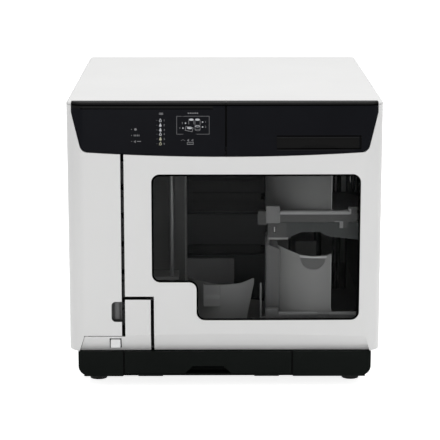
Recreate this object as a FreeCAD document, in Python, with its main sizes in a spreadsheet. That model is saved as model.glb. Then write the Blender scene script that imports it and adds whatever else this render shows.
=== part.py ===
import FreeCAD, Part
import math
import os
import Sketcher
from types import SimpleNamespace

Vector = FreeCAD.Vector
doc = FreeCAD.newDocument("DiscLabelPrinter")

# Driving sizes in millimetres and degrees. Depths are measured back from the front, heights from the table.
sizes = {
    # outer case
    "case_width": 377,
    "case_depth": 465,
    "case_height": 348,
    "case_low": 44,
    "shell_wall": 3,
    "front_round": 22,
    "front_bow": 1.4,
    "rear_round": 6,
    "top_round": 3,
    "side_seam": 41.8,
    "seam_gap": 0.8,
    "band_top": 63,
    "band_lean": 8,
    "band_side": 12.5,
    "band_slant": 6,
    # base, feet and deck
    "base_inset": 11,
    "base_low": 14,
    "base_wall": 3,
    "base_floor": 2.4,
    "base_setback": 1.5,
    "base_round": 12,
    "foot_top_radius": 11.5,
    "foot_low_radius": 10.4,
    "foot_side": 22,
    "foot_inset": 42,
    "deck_thick": 3,
    "deck_front": 19,
    "plate_thick": 1.5,
    "frame_gap": 2.5,
    "frame_front": 45,
    "roof_drop": 15,
    "frame_hole": 40,
    "frame_rib": 14,
    # black front panel
    "panel_tall": 63.6,
    "panel_rise": 5.4,
    "panel_low_side": 19,
    "panel_top_side": 7.3,
    "panel_shoulder": 12,
    "panel_wrap": 20,
    "panel_corner": 9,
    "panel_round": 5,
    "panel_split": 1.2,
    "panel_boss": 8,
    "panel_tongue": 5,
    "groove_drop": 7.5,
    "groove_high": 1,
    "groove_deep": 0.7,
    "groove_side": 18,
    "groove_end": 15,
    "pocket_side": 27.1,
    "pocket_width": 99.7,
    "pocket_drop": 39,
    "pocket_tall": 16.5,
    "pocket_deep": 1.8,
    "pocket_scoop_radius": 60,
    "pocket_scoop_rise": 5.5,
    "pocket_scoop_deep": 2.5,
    # disc cover and its window
    "seam_side": 66.4,
    "cover_gap": 4,
    "block_width": 32.8,
    "block_high": 109,
    "window_seam": 34.6,
    "window_side": 26.5,
    "window_low": 83.5,
    "window_drop": 21.9,
    "window_notch_width": 53.5,
    "window_notch_z": 130.5,
    "window_round": 10,
    "window_inset": 1,
    "window_lip": 6,
    "window_thick": 2,
    "flange_thick": 2.5,
    "flange_deep": 13,
    "hinge_radius": 2.8,
    "hinge_pin_radius": 1.25,
    "hinge_pin_length": 16,
    "hinge_back": 38.5,
    "running_gap": 0.05,
    "fit_gap": 0.4,
    # ink cover grip and power button
    "grip_width": 12.4,
    "grip_low": 81.4,
    "grip_high": 106.4,
    "grip_deep": 9,
    "grip_wall": 2,
    "button_side": 56.3,
    "button_z": 53.9,
    "button_width": 12,
    "button_height": 10.6,
    "button_gap": 1.2,
    "button_travel": 1.5,
    "button_stem": 20,
    # positions of the disc stacks and of the arm's column
    "disc_radius": 60,
    "stack_side": 73.5,
    "stack_back": 92.5,
    "drop_offset": 99,
    "drop_back": 176.5,
    "column_side": 65.3,
    "column_back": 202.5,
    # stackers
    "stacker_radius": 64,
    "stacker_wall": 2.2,
    "stacker_floor": 2,
    "hub_flat_radius": 18,
    "hub_bore_radius": 9,
    "stacker_wrap": 161.4,
    "stacker_facing": 202.6,
    "shelf_room": 41,
    "stacker_step": 3.7,
    "stacker_slope": 7.1,
    "lip_drop": 12.1,
    "lip_proud": 1.4,
    "lip_height": 3.2,
    "dish_radius": 15.3,
    "dish_deep": 1.1,
    "slide_low": 76,
    "slide_thick": 10,
    "shelf_thick": 14,
    "shelf_lip_radius": 2.4,
    "apron_drop": 21,
    "arch_drop": 12,
    "low_block_high": 16,
    "low_bar_high": 12,
    "back_stop_high": 70,
    "shelf_left_reach": 64,
    "shelf_right_reach": 53,
    "shelf_front": 22,
    "shelf_back": 162,
    "drop_clear": 66.5,
    "small_stacker_radius": 63,
    "small_stacker_height": 60.3,
    "small_stacker_rim": 52,
    "small_stacker_wrap": 104,
    "small_stacker_facing": 238,
    "tab_width": 21,
    "tab_low": 26,
    "tab_ledge": 36.3,
    "tab_ledge_high": 42,
    "tab_proud": 8,
    # drawer
    "drawer_left": -121.6,
    "drawer_right": 81.2,
    "drawer_low": 16.6,
    "drawer_high": 43.6,
    "drawer_length": 384,
    "drawer_wall": 2.5,
    "drawer_lip": 12,
    "well_radius": 62.5,
    "well_floor": 20,
    "pull_width": 58,
    "pull_high": 25.4,
    "pull_deep": 14,
    # drives
    "drive_width": 146,
    "drive_height": 41.5,
    "drive_length": 166,
    "drive_front": 254.5,
    "drive_low": 166,
    "drive_skin": 1,
    "bezel_thick": 4,
    "tray_width": 128,
    "tray_thick": 6,
    "tray_rise": 17,
    "tray_gap": 1.5,
    "tray_start": 324.5,
    "disc_well": 60.6,
    "disc_well_deep": 2,
    "eject_width": 12,
    "eject_height": 5,
    # label printer unit
    "printer_half": 74,
    "printer_back": 440,
    "printer_high": 162,
    "print_tray_low": 108,
    "rail_back": 305,
    "rail_high": 142,
    "rail_radius": 4,
    "carriage_width": 44,
    "carriage_depth": 46,
    "carriage_high": 155,
    "carriage_low": 122,
    "fascia_left_reach": 64.6,
    "fascia_right_reach": 1.6,
    "fascia_low": 67,
    "fascia_high": 101.6,
    # arm mechanism
    "shaft_radius": 5,
    "guide_offset": 24,
    "lift_drop": 43,
    "lift_thick": 12,
    "arm_drop": 27,
    "arm_thick": 14,
    "arm_width": 24,
    "arm_skin": 2.2,
    "arm_rib": 2.4,
    "arm_web": 4,
    "hub_radius": 15,
    "grip_head_radius": 19,
    "claw_drop": 7.5,
    "claw_clear": 1.5,
    "claw_radius": 6.8,
    "belt_side": 36.5,
    "belt_thick": 1.4,
    "belt_width": 6,
    "belt_pulley_radius": 8,
    "belt_drop": 13,
    "belt_low": 30,
    "guide_radius": 3,
    # left bay
    "partition_gap": 39,
    "pillar_width": 48.7,
    "pillar_front": 240,
    "pillar_thick": 12,
    "rod_offset": 29,
    "rod_back": 212.5,
    "ledge_low": 84,
    "ledge_thick": 4,
    "ink_count": 6,
    "ink_pitch": 35,
    "ink_height": 28,
    "ink_low": 70,
    "ink_front": 24,
    "ink_length": 170,
    "ink_wall": 2,
    "supply_side": 4,
    "supply_front": 20,
    "supply_back": 26,
    "supply_height": 90,
    "supply_face": 3,
    # rear
    "duct_left": 50,
    "duct_right": 150,
    "duct_low": 190,
    "duct_high": 290,
    "duct_wall": 2.5,
    "duct_depth": 28,
    "fan_size": 80,
    "fan_thick": 25,
    "fan_hub_radius": 17,
    "fan_blades": 7,
    "inlet_x": -140,
    "inlet_z": 90,
    "port_x": -60,
    "port_z": 75,
}


class Term:
    """A number that remembers the sheet expression it comes from."""

    def __init__(self, value, text):
        self.value = float(value)
        self.text = text

    def join(self, other, sign, value):
        return Term(value, f"({self.text} {sign} {term(other).text})")

    def __add__(self, other):
        return self.join(other, "+", self.value + term(other).value)

    def __sub__(self, other):
        return self.join(other, "-", self.value - term(other).value)

    def __mul__(self, other):
        return self.join(other, "*", self.value * term(other).value)

    def __truediv__(self, other):
        return self.join(other, "/", self.value / term(other).value)

    def __radd__(self, other):
        return term(other) + self

    def __rsub__(self, other):
        return term(other) - self

    def __rmul__(self, other):
        return term(other) * self

    def __rtruediv__(self, other):
        return term(other) / self

    def __neg__(self):
        return Term(-self.value, f"(-1 * {self.text})")


def term(number):
    return number if isinstance(number, Term) else Term(number, repr(float(number)))


def root(size):
    return Term(math.sqrt(size.value), f"sqrt({size.text})")


def make_sheet():
    sheet = doc.addObject("Spreadsheet::Sheet", "Sizes")
    for row, (name, number) in enumerate(sizes.items(), start=1):
        sheet.set(f"A{row}", name)
        sheet.set(f"B{row}", str(number))
        sheet.setAlias(f"B{row}", name)
    doc.recompute()
    return SimpleNamespace(**{name: Term(number, f"Sizes.{name}") for name, number in sizes.items()})


s = make_sheet()
half_width = s.case_width / 2
front = -(s.case_depth + s.duct_depth) / 2
rear = front + s.case_depth
deck_top = s.case_low + s.deck_thick
far = 30  # reach of cutting bodies past the faces they cut

# sizes that follow from the sides and the top of the case
base_half = half_width - s.base_inset
s.band_reach = half_width - s.band_side
s.cover_seam = s.seam_side - half_width
s.button_x = s.button_side - half_width
s.block_right = s.cover_seam + s.block_width
s.panel_low = s.case_height - s.panel_tall
s.panel_low_reach = half_width - s.panel_low_side
s.panel_top_reach = half_width - s.panel_top_side
s.pocket_right = half_width - s.pocket_side
s.pocket_left = s.pocket_right - s.pocket_width
s.pocket_high = s.case_height - s.pocket_drop
s.pocket_low = s.pocket_high - s.pocket_tall
s.window_left = s.cover_seam + s.window_seam
s.window_right = half_width - s.window_side
s.window_notch_x = s.window_left + s.window_notch_width
s.window_high = s.panel_low - s.window_drop
s.roof_high = s.case_height - s.roof_drop

# places of the mechanism: everything inside is set out from the right side and hangs from the roof
s.stack_x = half_width - s.stack_side
s.drop_x = s.stack_x - s.drop_offset
s.column_x = half_width - s.column_side
s.belt_x = half_width - s.belt_side
s.belt_high = s.roof_high - s.belt_drop
s.lift_low = s.roof_high - s.lift_drop
s.lift_high = s.lift_low + s.lift_thick
s.arm_low = s.roof_high - s.arm_drop
s.claw_low = s.arm_low - s.claw_drop
s.printer_left = s.drop_x - s.printer_half
s.printer_right = s.drop_x + s.printer_half
s.partition_x = s.printer_left - s.partition_gap
s.pillar_right = s.partition_x + s.pillar_width
s.rod_x = s.partition_x + s.rod_offset

# the two tall stackers share the height between the lower slide plate and the claws
stack_top = s.claw_low - s.claw_clear
low_floor = s.slide_low + s.slide_thick - 4
stacker_tall = (stack_top - low_floor - s.shelf_room) / 2
high_floor = stack_top - stacker_tall
s.shelf_low = high_floor + 2 - s.shelf_thick
s.shelf_left = s.stack_x - s.shelf_left_reach
s.shelf_right = s.stack_x + s.shelf_right_reach


def depth(distance):
    return front + distance


def bind(item, prop, size):
    item.setExpression(prop, term(size).text)


def place(item, x, y, z):
    for axis, size in zip("xyz", (x, y, z)):
        bind(item, f"Placement.Base.{axis}", size)


def box(x0, x1, y0, y1, z0, z1, name="block"):
    item = doc.addObject("Part::Box", name)
    for prop, low, high in (("Length", x0, x1), ("Width", y0, y1), ("Height", z0, z1)):
        bind(item, prop, term(high) - low)
    place(item, x0, y0, z0)
    return item


turns = {
    "x": FreeCAD.Rotation(Vector(0, 1, 0), 90),
    "y": FreeCAD.Rotation(Vector(1, 0, 0), -90),
    "z": FreeCAD.Rotation(),
}


def cylinder(x, y, z, length, radius, along="z", name="round"):
    item = doc.addObject("Part::Cylinder", name)
    item.Placement = FreeCAD.Placement(Vector(), turns[along])
    bind(item, "Height", length)
    bind(item, "Radius", radius)
    place(item, x, y, z)
    return item


def cone(x, y, z, length, low_radius, high_radius, along="z", name="taper"):
    item = doc.addObject("Part::Cone", name)
    item.Placement = FreeCAD.Placement(Vector(), turns[along])
    bind(item, "Height", length)
    bind(item, "Radius1", low_radius)
    bind(item, "Radius2", high_radius)
    place(item, x, y, z)
    return item


def cut(base, *tools):
    item = doc.addObject("Part::Cut", "cut")
    item.Base = base
    item.Tool = tools[0] if len(tools) == 1 else fuse(*tools)
    return item


def fuse(*pieces):
    item = doc.addObject("Part::MultiFuse", "joined")
    item.Shapes = list(pieces)
    item.Refine = True
    return item


def common(*pieces):
    item = doc.addObject("Part::MultiCommon", "shared")
    item.Shapes = list(pieces)
    return item


def group(*pieces):
    item = doc.addObject("Part::Compound", "set")
    item.Links = list(pieces)
    return item


planes = {"xy": "XY_Plane", "xz": "XZ_Plane", "yz": "YZ_Plane"}


def start_sketch(plane, name):
    body = doc.addObject("PartDesign::Body", name)
    sketch = body.newObject("Sketcher::SketchObject", f"{name}_sketch")
    origin_plane = [item for item in body.Origin.OriginFeatures if item.Role == planes[plane]][0]
    sketch.AttachmentSupport = (origin_plane, [""])
    sketch.MapMode = "FlatFace"
    return body, sketch


def arc_between(start, end, radius):
    """Arc from start to end, counter-clockwise for a positive radius."""
    chord = end - start
    height = math.sqrt(max(radius * radius - chord.Length ** 2 / 4, 0))
    side = 1 if radius > 0 else -1
    normal = Vector(-chord.y, chord.x, 0).normalize() * side
    centre = (start + end) / 2 + normal * height
    middle = centre - normal * abs(radius)
    return Part.ArcOfCircle(start, middle, end)


def draw(sketch, points):
    """Closed outline of points (u, v), or (u, v, radius) where the edge to the next point bends."""
    count = len(points)
    spots = [Vector(term(point[0]).value, term(point[1]).value, 0) for point in points]
    ends = []
    for index, point in enumerate(points):
        start, end = spots[index], spots[(index + 1) % count]
        if len(point) == 3:
            radius = term(point[2])
            sketch.addGeometry(arc_between(start, end, radius.value), False)
            ends.append((1, 2) if radius.value > 0 else (2, 1))
        else:
            sketch.addGeometry(Part.LineSegment(start, end), False)
            ends.append((1, 2))
    for index in range(count):
        after = (index + 1) % count
        sketch.addConstraint(Sketcher.Constraint("Coincident", index, ends[index][1], after, ends[after][0]))
    for index, point in enumerate(points):
        for kind, size in (("DistanceX", term(point[0])), ("DistanceY", term(point[1]))):
            rule = Sketcher.Constraint(kind, -1, 1, index, ends[index][0], size.value)
            sketch.setExpression(f"Constraints[{sketch.addConstraint(rule)}]", size.text)
        if len(point) == 3:
            radius = term(point[2])
            sign = 1 if radius.value > 0 else -1
            rule = Sketcher.Constraint("Radius", index, sign * radius.value)
            sketch.setExpression(f"Constraints[{sketch.addConstraint(rule)}]", (radius * sign).text)


def prism(plane, low, high, points, name="profile", rounds=()):
    """Outline drawn on a plane and padded from low to high. rounds holds (u, v, radius) corners to fillet."""
    body, sketch = start_sketch(plane, name)
    draw(sketch, points)
    pad = body.newObject("PartDesign::Pad", f"{name}_pad")
    pad.Profile = sketch
    pad.Length = 1
    bind(pad, "Length", term(high) - low)
    axis = {"xy": "z", "xz": "y", "yz": "x"}[plane]
    bind(body, f"Placement.Base.{axis}", term(high) if plane == "xz" else term(low))
    if rounds:
        doc.recompute()
        for u, v, radius in rounds:
            round_corner(body, plane, term(u).value, term(v).value, radius)
    return body


def round_corner(body, plane, u, v, radius):
    def matches(edge):
        axes = {"xy": "xy", "xz": "xz", "yz": "yz"}[plane]
        return all(
            abs(getattr(vertex.Point, axes[0]) - u) < 0.01 and abs(getattr(vertex.Point, axes[1]) - v) < 0.01
            for vertex in edge.Vertexes
        )

    fillet_edges(body, radius, matches)


def fillet_edges(body, radius, matches):
    """Adds a fillet inside a body on the edges of its last feature that match."""
    last = body.Tip
    names = [f"Edge{index}" for index, edge in enumerate(body.Shape.Edges, start=1) if matches(edge)]
    fillet = body.newObject("PartDesign::Fillet", "rounding")
    fillet.Base = (last, names)
    fillet.Radius = term(radius).value
    bind(fillet, "Radius", radius)
    doc.recompute()
    return fillet


def revolve(points, x, y, z, name="turned", angle=None, facing=0):
    """Outline in radius and height, turned about a vertical axis; an open ring is centred on facing."""
    body, sketch = start_sketch("xz", name)
    draw(sketch, points)
    turned = body.newObject("PartDesign::Revolution", f"{name}_turn")
    turned.Profile = sketch
    turned.ReferenceAxis = (sketch, ["V_Axis"])
    turned.Angle = 360
    if angle is not None:
        turned.Midplane = True
        bind(turned, "Angle", angle)
        body.Placement = FreeCAD.Placement(Vector(), FreeCAD.Rotation(Vector(0, 0, 1), term(facing).value))
    place(body, x, y, z)
    return body


def soften(base, radius, matches, name="softened"):
    """Part fillet on the edges of a finished solid that match."""
    doc.recompute()
    edges = [index for index, edge in enumerate(base.Shape.Edges, start=1) if matches(edge)]
    item = doc.addObject("Part::Fillet", name)
    item.Base = base
    item.Edges = [(index, term(radius).value, term(radius).value) for index in edges]
    return item


def near(number, size, slack=0.02):
    return abs(number - term(size).value) < slack


nodes = {}


def part(name, item):
    item.Label = name
    nodes[name] = item
    return item


# ---------------------------------------------------------------- envelope of the case

skins = {}


def plan_outline(inset, back):
    """Case seen from above, drawn in by inset: bowed front, round front corners, straight sides to back."""
    turn = half_width - s.front_round
    bow_radius = (turn * turn + s.front_bow * s.front_bow) / (2 * s.front_bow)
    reach = bow_radius - s.front_round
    drop = root(reach * reach - turn * turn)
    side = half_width - inset
    corner = s.front_round - inset
    edge_x = (bow_radius - inset) * turn / reach
    edge_y = front + bow_radius - (bow_radius - inset) * drop / reach
    side_y = front + bow_radius - drop
    return [
        (-edge_x, edge_y, bow_radius - inset),
        (edge_x, edge_y, corner),
        (side, side_y),
        (side, back),
        (-side, back),
        (-side, side_y, corner),
    ]


def skin(inset, high):
    """Solid of the whole case drawn in by inset, up to high; every outer shell is cut from it."""
    inset = term(inset)
    key = (inset.text, term(high).text)
    if key not in skins:
        back = rear - inset
        side = half_width - inset
        points = plan_outline(inset, back)
        rounds = [(side, back, s.rear_round), (-side, back, s.rear_round)] if inset.value == 0 else []
        low = s.case_low if inset.value == 0 else s.case_low - 1
        skins[key] = prism("xy", low, high, points, "envelope", rounds)
    return skins[key]


def round_top(body, radius, high, back):
    """Rounds the top edges of a body that lie in front of back."""
    doc.recompute()
    fillet_edges(body, radius, lambda edge: all(near(v.Point.z, high) for v in edge.Vertexes)
                 and not all(near(v.Point.y, back) for v in edge.Vertexes))
    return body


def band_cut(inset):
    """Wedge that leans the strip under the covers back; its ends slant outwards as they go down."""
    rise = s.band_top - s.case_low
    slope = s.band_lean / rise
    start = front + s.front_bow + inset
    above = 4
    below = 5
    lean = prism("yz", -half_width, half_width, [
        (start - above * slope, s.band_top + above),
        (start - far, s.band_top + above),
        (start - far, s.case_low - below),
        (start + s.band_lean + below * slope, s.case_low - below),
    ], "band_lean")
    reach = s.band_reach + inset
    ends = prism("xz", front - far, front + far, [
        (-reach - s.band_slant * below / rise, s.case_low - below),
        (reach + s.band_slant * below / rise, s.case_low - below),
        (reach - s.band_slant * (1 + above / rise), s.band_top + above),
        (-reach + s.band_slant * (1 + above / rise), s.band_top + above),
    ], "band_ends")
    return common(lean, ends)


def panel_outline(grow, low, high):
    """Front outline of the black panel: a shallow smile below, ends that spread upwards."""
    bottom = s.panel_low + s.panel_rise - grow
    chord = s.panel_low_reach + grow
    smile = (chord * chord + s.panel_rise * s.panel_rise) / (2 * s.panel_rise)
    top = s.case_height + far
    spread = s.panel_top_reach + grow
    corner = s.panel_corner + grow
    return prism("xz", low, high, [
        (-chord, bottom, smile),
        (chord, bottom),
        (spread, s.case_height - s.panel_shoulder),
        (spread, top),
        (-spread, top),
        (-spread, s.case_height - s.panel_shoulder),
    ], "panel_outline", [(-chord, bottom, corner), (chord, bottom, corner)])


outer_skin = round_top(skin(0, s.case_height), s.top_round, s.case_height, rear + far)
inner_skin = skin(s.shell_wall, s.case_height - s.shell_wall)
outer_form = cut(outer_skin, band_cut(term(0)))
inner_form = cut(inner_skin, band_cut(s.shell_wall))
shell = cut(outer_form, inner_form)
cover_top = s.case_height - s.shell_wall - s.fit_gap
cover_low = s.case_low + s.fit_gap
panel_gap = panel_outline(s.seam_gap, front - far, depth(s.panel_wrap + s.seam_gap))
hinge_x = half_width - s.hinge_radius
hinge_y = depth(s.hinge_back)
tab_high = s.case_low + 3


def hinge_tab(side):
    """Ear at the foot of the case that carries the lower hinge pin."""
    x = hinge_x * side
    ear = fuse(
        cylinder(x, hinge_y, s.case_low, tab_high - s.case_low, s.hinge_radius),
        box(x - s.hinge_radius, x + s.hinge_radius, hinge_y, depth(s.side_seam) + 1, s.case_low, tab_high),
    )
    return ear


def make_outer_case():
    side = half_width - s.shell_wall
    front_open = box(-half_width - 1, half_width + 1, front - 1, depth(s.side_seam), s.case_low - 1,
                     s.case_height - s.shell_wall)
    back_open = box(-side, side, rear - s.shell_wall - 1, rear + 1, s.case_low - 1, s.case_height - s.shell_wall)
    case = cut(shell, front_open, back_open, panel_gap)
    case = fuse(case, hinge_tab(1), hinge_tab(-1))
    holes = []
    for side in (1, -1):
        x = hinge_x * side
        hole_radius = s.hinge_pin_radius + s.running_gap
        holes.append(cylinder(x, hinge_y, s.case_low - 1, tab_high - s.case_low + 2, hole_radius))
        holes.append(cylinder(x, hinge_y, s.case_height - s.shell_wall - 1, s.shell_wall, hole_radius))
    part("outer_case", cut(case, *holes))


def make_hinge_pins():
    pins = []
    for side in (1, -1):
        for low in (s.case_low, s.case_height - 1 - s.hinge_pin_length):
            pins.append(cylinder(hinge_x * side, hinge_y, low, s.hinge_pin_length, s.hinge_pin_radius))
    part("cover_hinge_pins", group(*pins))


def hinge_bead(side):
    """Round bead along the rear edge of a cover, bored at both ends for the hinge pins."""
    x = hinge_x * side
    low = tab_high + s.fit_gap
    bead = cylinder(x, hinge_y, low, cover_top - low, s.hinge_radius)
    outer = half_width * side
    inner = (half_width - s.shell_wall) * side
    low_x, high_x = (inner, outer) if side > 0 else (outer, inner)
    web = box(low_x, high_x, hinge_y - s.hinge_radius - 3, hinge_y, low, cover_top)
    bore = s.hinge_pin_radius + s.running_gap
    bores = (
        cylinder(x, hinge_y, low - 1, s.hinge_pin_length, bore),
        cylinder(x, hinge_y, cover_top - s.hinge_pin_length, s.hinge_pin_length + 1, bore),
    )
    clear = box(low_x - 1, high_x + 1, hinge_y, hinge_y + s.hinge_radius + 1, s.case_low - 1, s.case_height)
    return fuse(cut(web, clear), bead), bores


def window_outline(grow, low, high):
    left = s.window_left - grow
    right = s.window_right + grow
    bottom = s.window_low - grow
    top = s.window_high + grow
    step_x = s.window_notch_x - grow
    step_z = s.window_notch_z - grow
    corner = s.window_round + grow
    inner = s.window_round - grow - s.window_inset
    return prism("xz", low, high, [
        (step_x, bottom), (right, bottom), (right, top), (left, top), (left, step_z), (step_x, step_z),
    ], "window_outline", [
        (step_x, bottom, corner), (right, bottom, corner), (right, top, corner), (left, top, corner),
        (left, step_z, corner), (step_x, step_z, inner),
    ])


def make_disc_cover():
    left = s.cover_seam + s.cover_gap / 2
    notch_x = s.block_right + s.cover_gap
    notch_z = s.block_high + s.cover_gap
    wing_end = hinge_y - s.hinge_radius - 1
    area = box(left, half_width + 1, front - 1, wing_end, cover_low, cover_top)
    notch = box(left - 1, notch_x, front - 1, wing_end, s.case_low - 1, notch_z)
    plate = cut(common(shell, area), notch)
    rim_back = depth(s.flange_deep)
    thick = s.flange_thick
    outside = (
        box(-half_width - far, left, front - 1, rim_back + 1, s.case_low, s.case_height + far),
        box(s.band_reach - s.band_slant, half_width + far, front - 1, rim_back + 1, s.case_low,
            s.case_height + far),
    )
    rims = fuse(
        box(left, left + thick, front, rim_back, notch_z, s.case_height),
        box(left, notch_x + thick, front, rim_back, notch_z, notch_z + thick),
        box(notch_x, notch_x + thick, front, rim_back, cover_low, notch_z + thick),
        box(notch_x, s.band_reach - s.band_slant, front, rim_back + 1, cover_low, cover_low + thick),
        cut(panel_outline(s.seam_gap + thick, front, rim_back), *outside),
    )
    bead, bores = hinge_bead(1)
    tab_clear = box(hinge_x - s.hinge_radius - s.fit_gap, half_width + 1, hinge_y - s.hinge_radius - s.fit_gap,
                    hinge_y + far, s.case_low - 1, tab_high + s.fit_gap)
    solid = fuse(plate, common(rims, outer_form), bead)
    opening = window_outline(term(0), front - far, depth(s.flange_deep))
    part("disc_cover", cut(solid, opening, panel_gap, tab_clear, *bores))


def make_window():
    lens = cut(skin(s.window_inset, s.case_height - 10), skin(s.shell_wall + 0.1, s.case_height - 9))
    pane = common(lens, window_outline(-s.fit_gap, front - far, depth(s.flange_deep)))
    thick = cut(skin(s.shell_wall + 0.05, s.case_height - 10),
                skin(s.shell_wall + s.window_thick, s.case_height - 9))
    lip = common(thick, window_outline(s.window_lip, front - far, depth(s.flange_deep)))
    part("cover_window", fuse(pane, lip))


def make_ink_cover():
    right = s.cover_seam - s.cover_gap / 2
    wing_end = hinge_y - s.hinge_radius - 1
    seam = s.band_top + s.seam_gap
    area = fuse(
        box(-half_width - 1, right, front - 1, wing_end, seam, cover_top),
        cut(
            box(-half_width - 1, -s.band_reach + s.band_slant, front - 1, wing_end, cover_low, seam + 1),
            band_face(s.fit_gap),
        ),
    )
    thick = s.flange_thick
    rim_back = depth(s.flange_deep)
    outside = (
        box(right, half_width + far, front - 1, rim_back + 1, s.case_low, s.case_height + far),
        box(-half_width - far, -s.band_reach + s.band_slant, front - 1, rim_back + 1, s.case_low,
            s.case_height + far),
    )
    rims = fuse(
        box(right - thick, right, front, rim_back, seam, s.case_height),
        box(-s.band_reach + s.band_slant, right, front, rim_back, seam, seam + thick),
        cut(panel_outline(s.seam_gap + thick, front, rim_back), *outside),
    )
    bead, bores = hinge_bead(-1)
    tab_clear = box(-half_width - 1, -hinge_x + s.hinge_radius + s.fit_gap,
                    hinge_y - s.hinge_radius - s.fit_gap, hinge_y + far, s.case_low - 1, tab_high + s.fit_gap)
    grip_back = depth(s.grip_deep)
    scoop = prism("xz", front - 1, grip_back, [
        (right - s.grip_width, s.grip_low), (right + 1, s.grip_low), (right + 1, s.grip_high),
        (right - s.grip_width, s.grip_high),
    ], "grip", [(right - s.grip_width, s.grip_low, 5), (right - s.grip_width, s.grip_high, 5)])
    cup = box(right - s.grip_width - s.grip_wall, right, front + s.shell_wall / 2, grip_back + s.grip_wall,
              s.grip_low - s.grip_wall, s.grip_high + s.grip_wall)
    solid = fuse(common(shell, area), common(rims, outer_form), bead, cup)
    part("ink_cover", cut(solid, scoop, panel_gap, tab_clear, *bores))


def band_face(inset):
    """Front outline of the leaning strip, drawn in by inset."""
    reach = s.band_reach - inset
    return prism("xz", front - far, front + far, [
        (-reach, s.case_low), (reach, s.case_low), (reach - s.band_slant, s.band_top),
        (-reach + s.band_slant, s.band_top),
    ], "band_face")


def make_corner_block():
    left = s.cover_seam + s.cover_gap / 2
    low_area = common(
        box(-half_width, s.block_right, front - 1, depth(far), s.case_low, s.band_top),
        band_face(s.seam_gap),
    )
    high_area = box(left, s.block_right, front - 1, depth(far), s.case_low, s.block_high)
    face = common(shell, fuse(low_area, high_area))
    thick = s.flange_thick
    rims = fuse(
        box(left, left + thick, front, depth(s.flange_deep), s.band_top, s.block_high),
        box(s.block_right - thick, s.block_right, front, depth(s.flange_deep), s.case_low, s.block_high),
        box(left, s.block_right, front, depth(s.flange_deep), s.block_high - thick, s.block_high),
    )
    reach_x = s.button_width / 2 + s.button_gap
    reach_z = s.button_height / 2 + s.button_gap
    collar = box(s.button_x - reach_x - 1.5, s.button_x + reach_x + 1.5, front, depth(18),
                 s.button_z - reach_z - 1.5, s.button_z + reach_z + 1.5)
    hole = box(s.button_x - reach_x, s.button_x + reach_x, front - 1, depth(far),
               s.button_z - reach_z, s.button_z + reach_z)
    solid = fuse(face, common(fuse(rims, collar), outer_form))
    part("front_corner_block", cut(solid, hole))


def make_power_button():
    half_x = s.button_width / 2
    half_z = s.button_height / 2
    start = depth(s.front_bow + 1)
    cap = prism("xz", start, start + s.button_stem, [
        (s.button_x - half_x, s.button_z - half_z), (s.button_x + half_x, s.button_z - half_z),
        (s.button_x + half_x, s.button_z + half_z), (s.button_x - half_x, s.button_z + half_z),
    ], "power_button", [
        (s.button_x + side * half_x, s.button_z + rise * half_z, 1.5) for side in (-1, 1) for rise in (-1, 1)
    ])
    doc.recompute()
    fillet_edges(cap, 0.8, lambda edge: all(near(v.Point.y, start) for v in edge.Vertexes))
    plunger = cylinder(s.button_x, start + s.button_stem - 1, s.button_z, 8, 2, "y")
    part("power_button", fuse(cap, plunger))
    switch_front = start + s.button_stem + s.button_travel + 0.3
    switch = fuse(
        box(s.button_x - half_x, s.button_x + half_x, switch_front, switch_front + 10, deck_top,
            s.button_z + half_z),
        box(s.button_x - half_x - 4, s.button_x + half_x + 4, switch_front + 10, switch_front + 11.6, deck_top,
            s.button_z + half_z + 6),
    )
    socket = cylinder(s.button_x, switch_front - 1, s.button_z, 9, 2 + s.running_gap, "y")
    part("power_switch", cut(switch, socket))


def make_front_panel():
    high = s.case_height
    plate = cut(panel_skin(), inner_skin)
    face = common(plate, panel_outline(term(0), front - 1, depth(s.panel_wrap)))
    half_gap = s.seam_gap / 2
    left = box(-half_width, s.panel_split - half_gap, front - 1, depth(s.panel_wrap) + 1, 200, high + 1)
    right = box(s.panel_split + half_gap, half_width, front - 1, depth(s.panel_wrap) + 1, 200, high + 1)
    boss_back = depth(s.panel_boss)
    boss_low = s.panel_low + s.panel_rise + 8
    boss_high = s.roof_high - 6
    bosses = [box(x - 3, x + 3, front + 2, boss_back, boss_low, boss_high) for x in (-150, -20, 30, 150)]
    pocket = cut(
        box(s.pocket_left, s.pocket_right, front - 1, front + 6, s.pocket_low, s.pocket_high),
        skin(s.pocket_deep, high),
    )
    middle = (s.pocket_left + s.pocket_right) / 2
    scoop = cut(
        common(
            cylinder(middle, front - 1, s.pocket_low + s.pocket_scoop_rise - s.pocket_scoop_radius, 7,
                     s.pocket_scoop_radius, "y"),
            box(s.pocket_left, s.pocket_right, front - 2, front + 6, s.pocket_low, s.pocket_high),
        ),
        skin(s.pocket_scoop_deep, high),
    )
    tongue_back = front + s.panel_tongue
    tongue_low, tongue_high = boss_low - 3, high - s.panel_round
    edge = s.panel_split - half_gap
    tongue = fuse(
        box(edge - 6, edge, front + 2, tongue_back, tongue_low, tongue_high),
        box(edge, edge + 6, front + s.shell_wall + 0.3, tongue_back, tongue_low, tongue_high),
    )
    groove = cut(
        box(s.groove_side - half_width, -s.groove_end, front - 1, front + 4, high - s.groove_drop,
            high - s.groove_drop + s.groove_high),
        skin(s.groove_deep, high),
    )
    part("operation_panel", cut(fuse(common(face, left), *bosses[:2], tongue), groove))
    part("right_fascia", cut(fuse(common(face, right), *bosses[2:]), pocket, scoop))


def panel_skin():
    """Case envelope with the softer top edge of the black panel."""
    back = depth(s.panel_wrap + far)
    body = prism("xy", s.panel_low - 10, s.case_height, plan_outline(term(0), back), "panel_block")
    return round_top(body, s.panel_round, s.case_height, back)


# ---------------------------------------------------------------- base, deck and frames

stack_y = depth(s.stack_back)
drop_y = depth(s.drop_back)
column_y = depth(s.column_back)
frame_x = half_width - s.shell_wall - s.frame_gap


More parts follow.
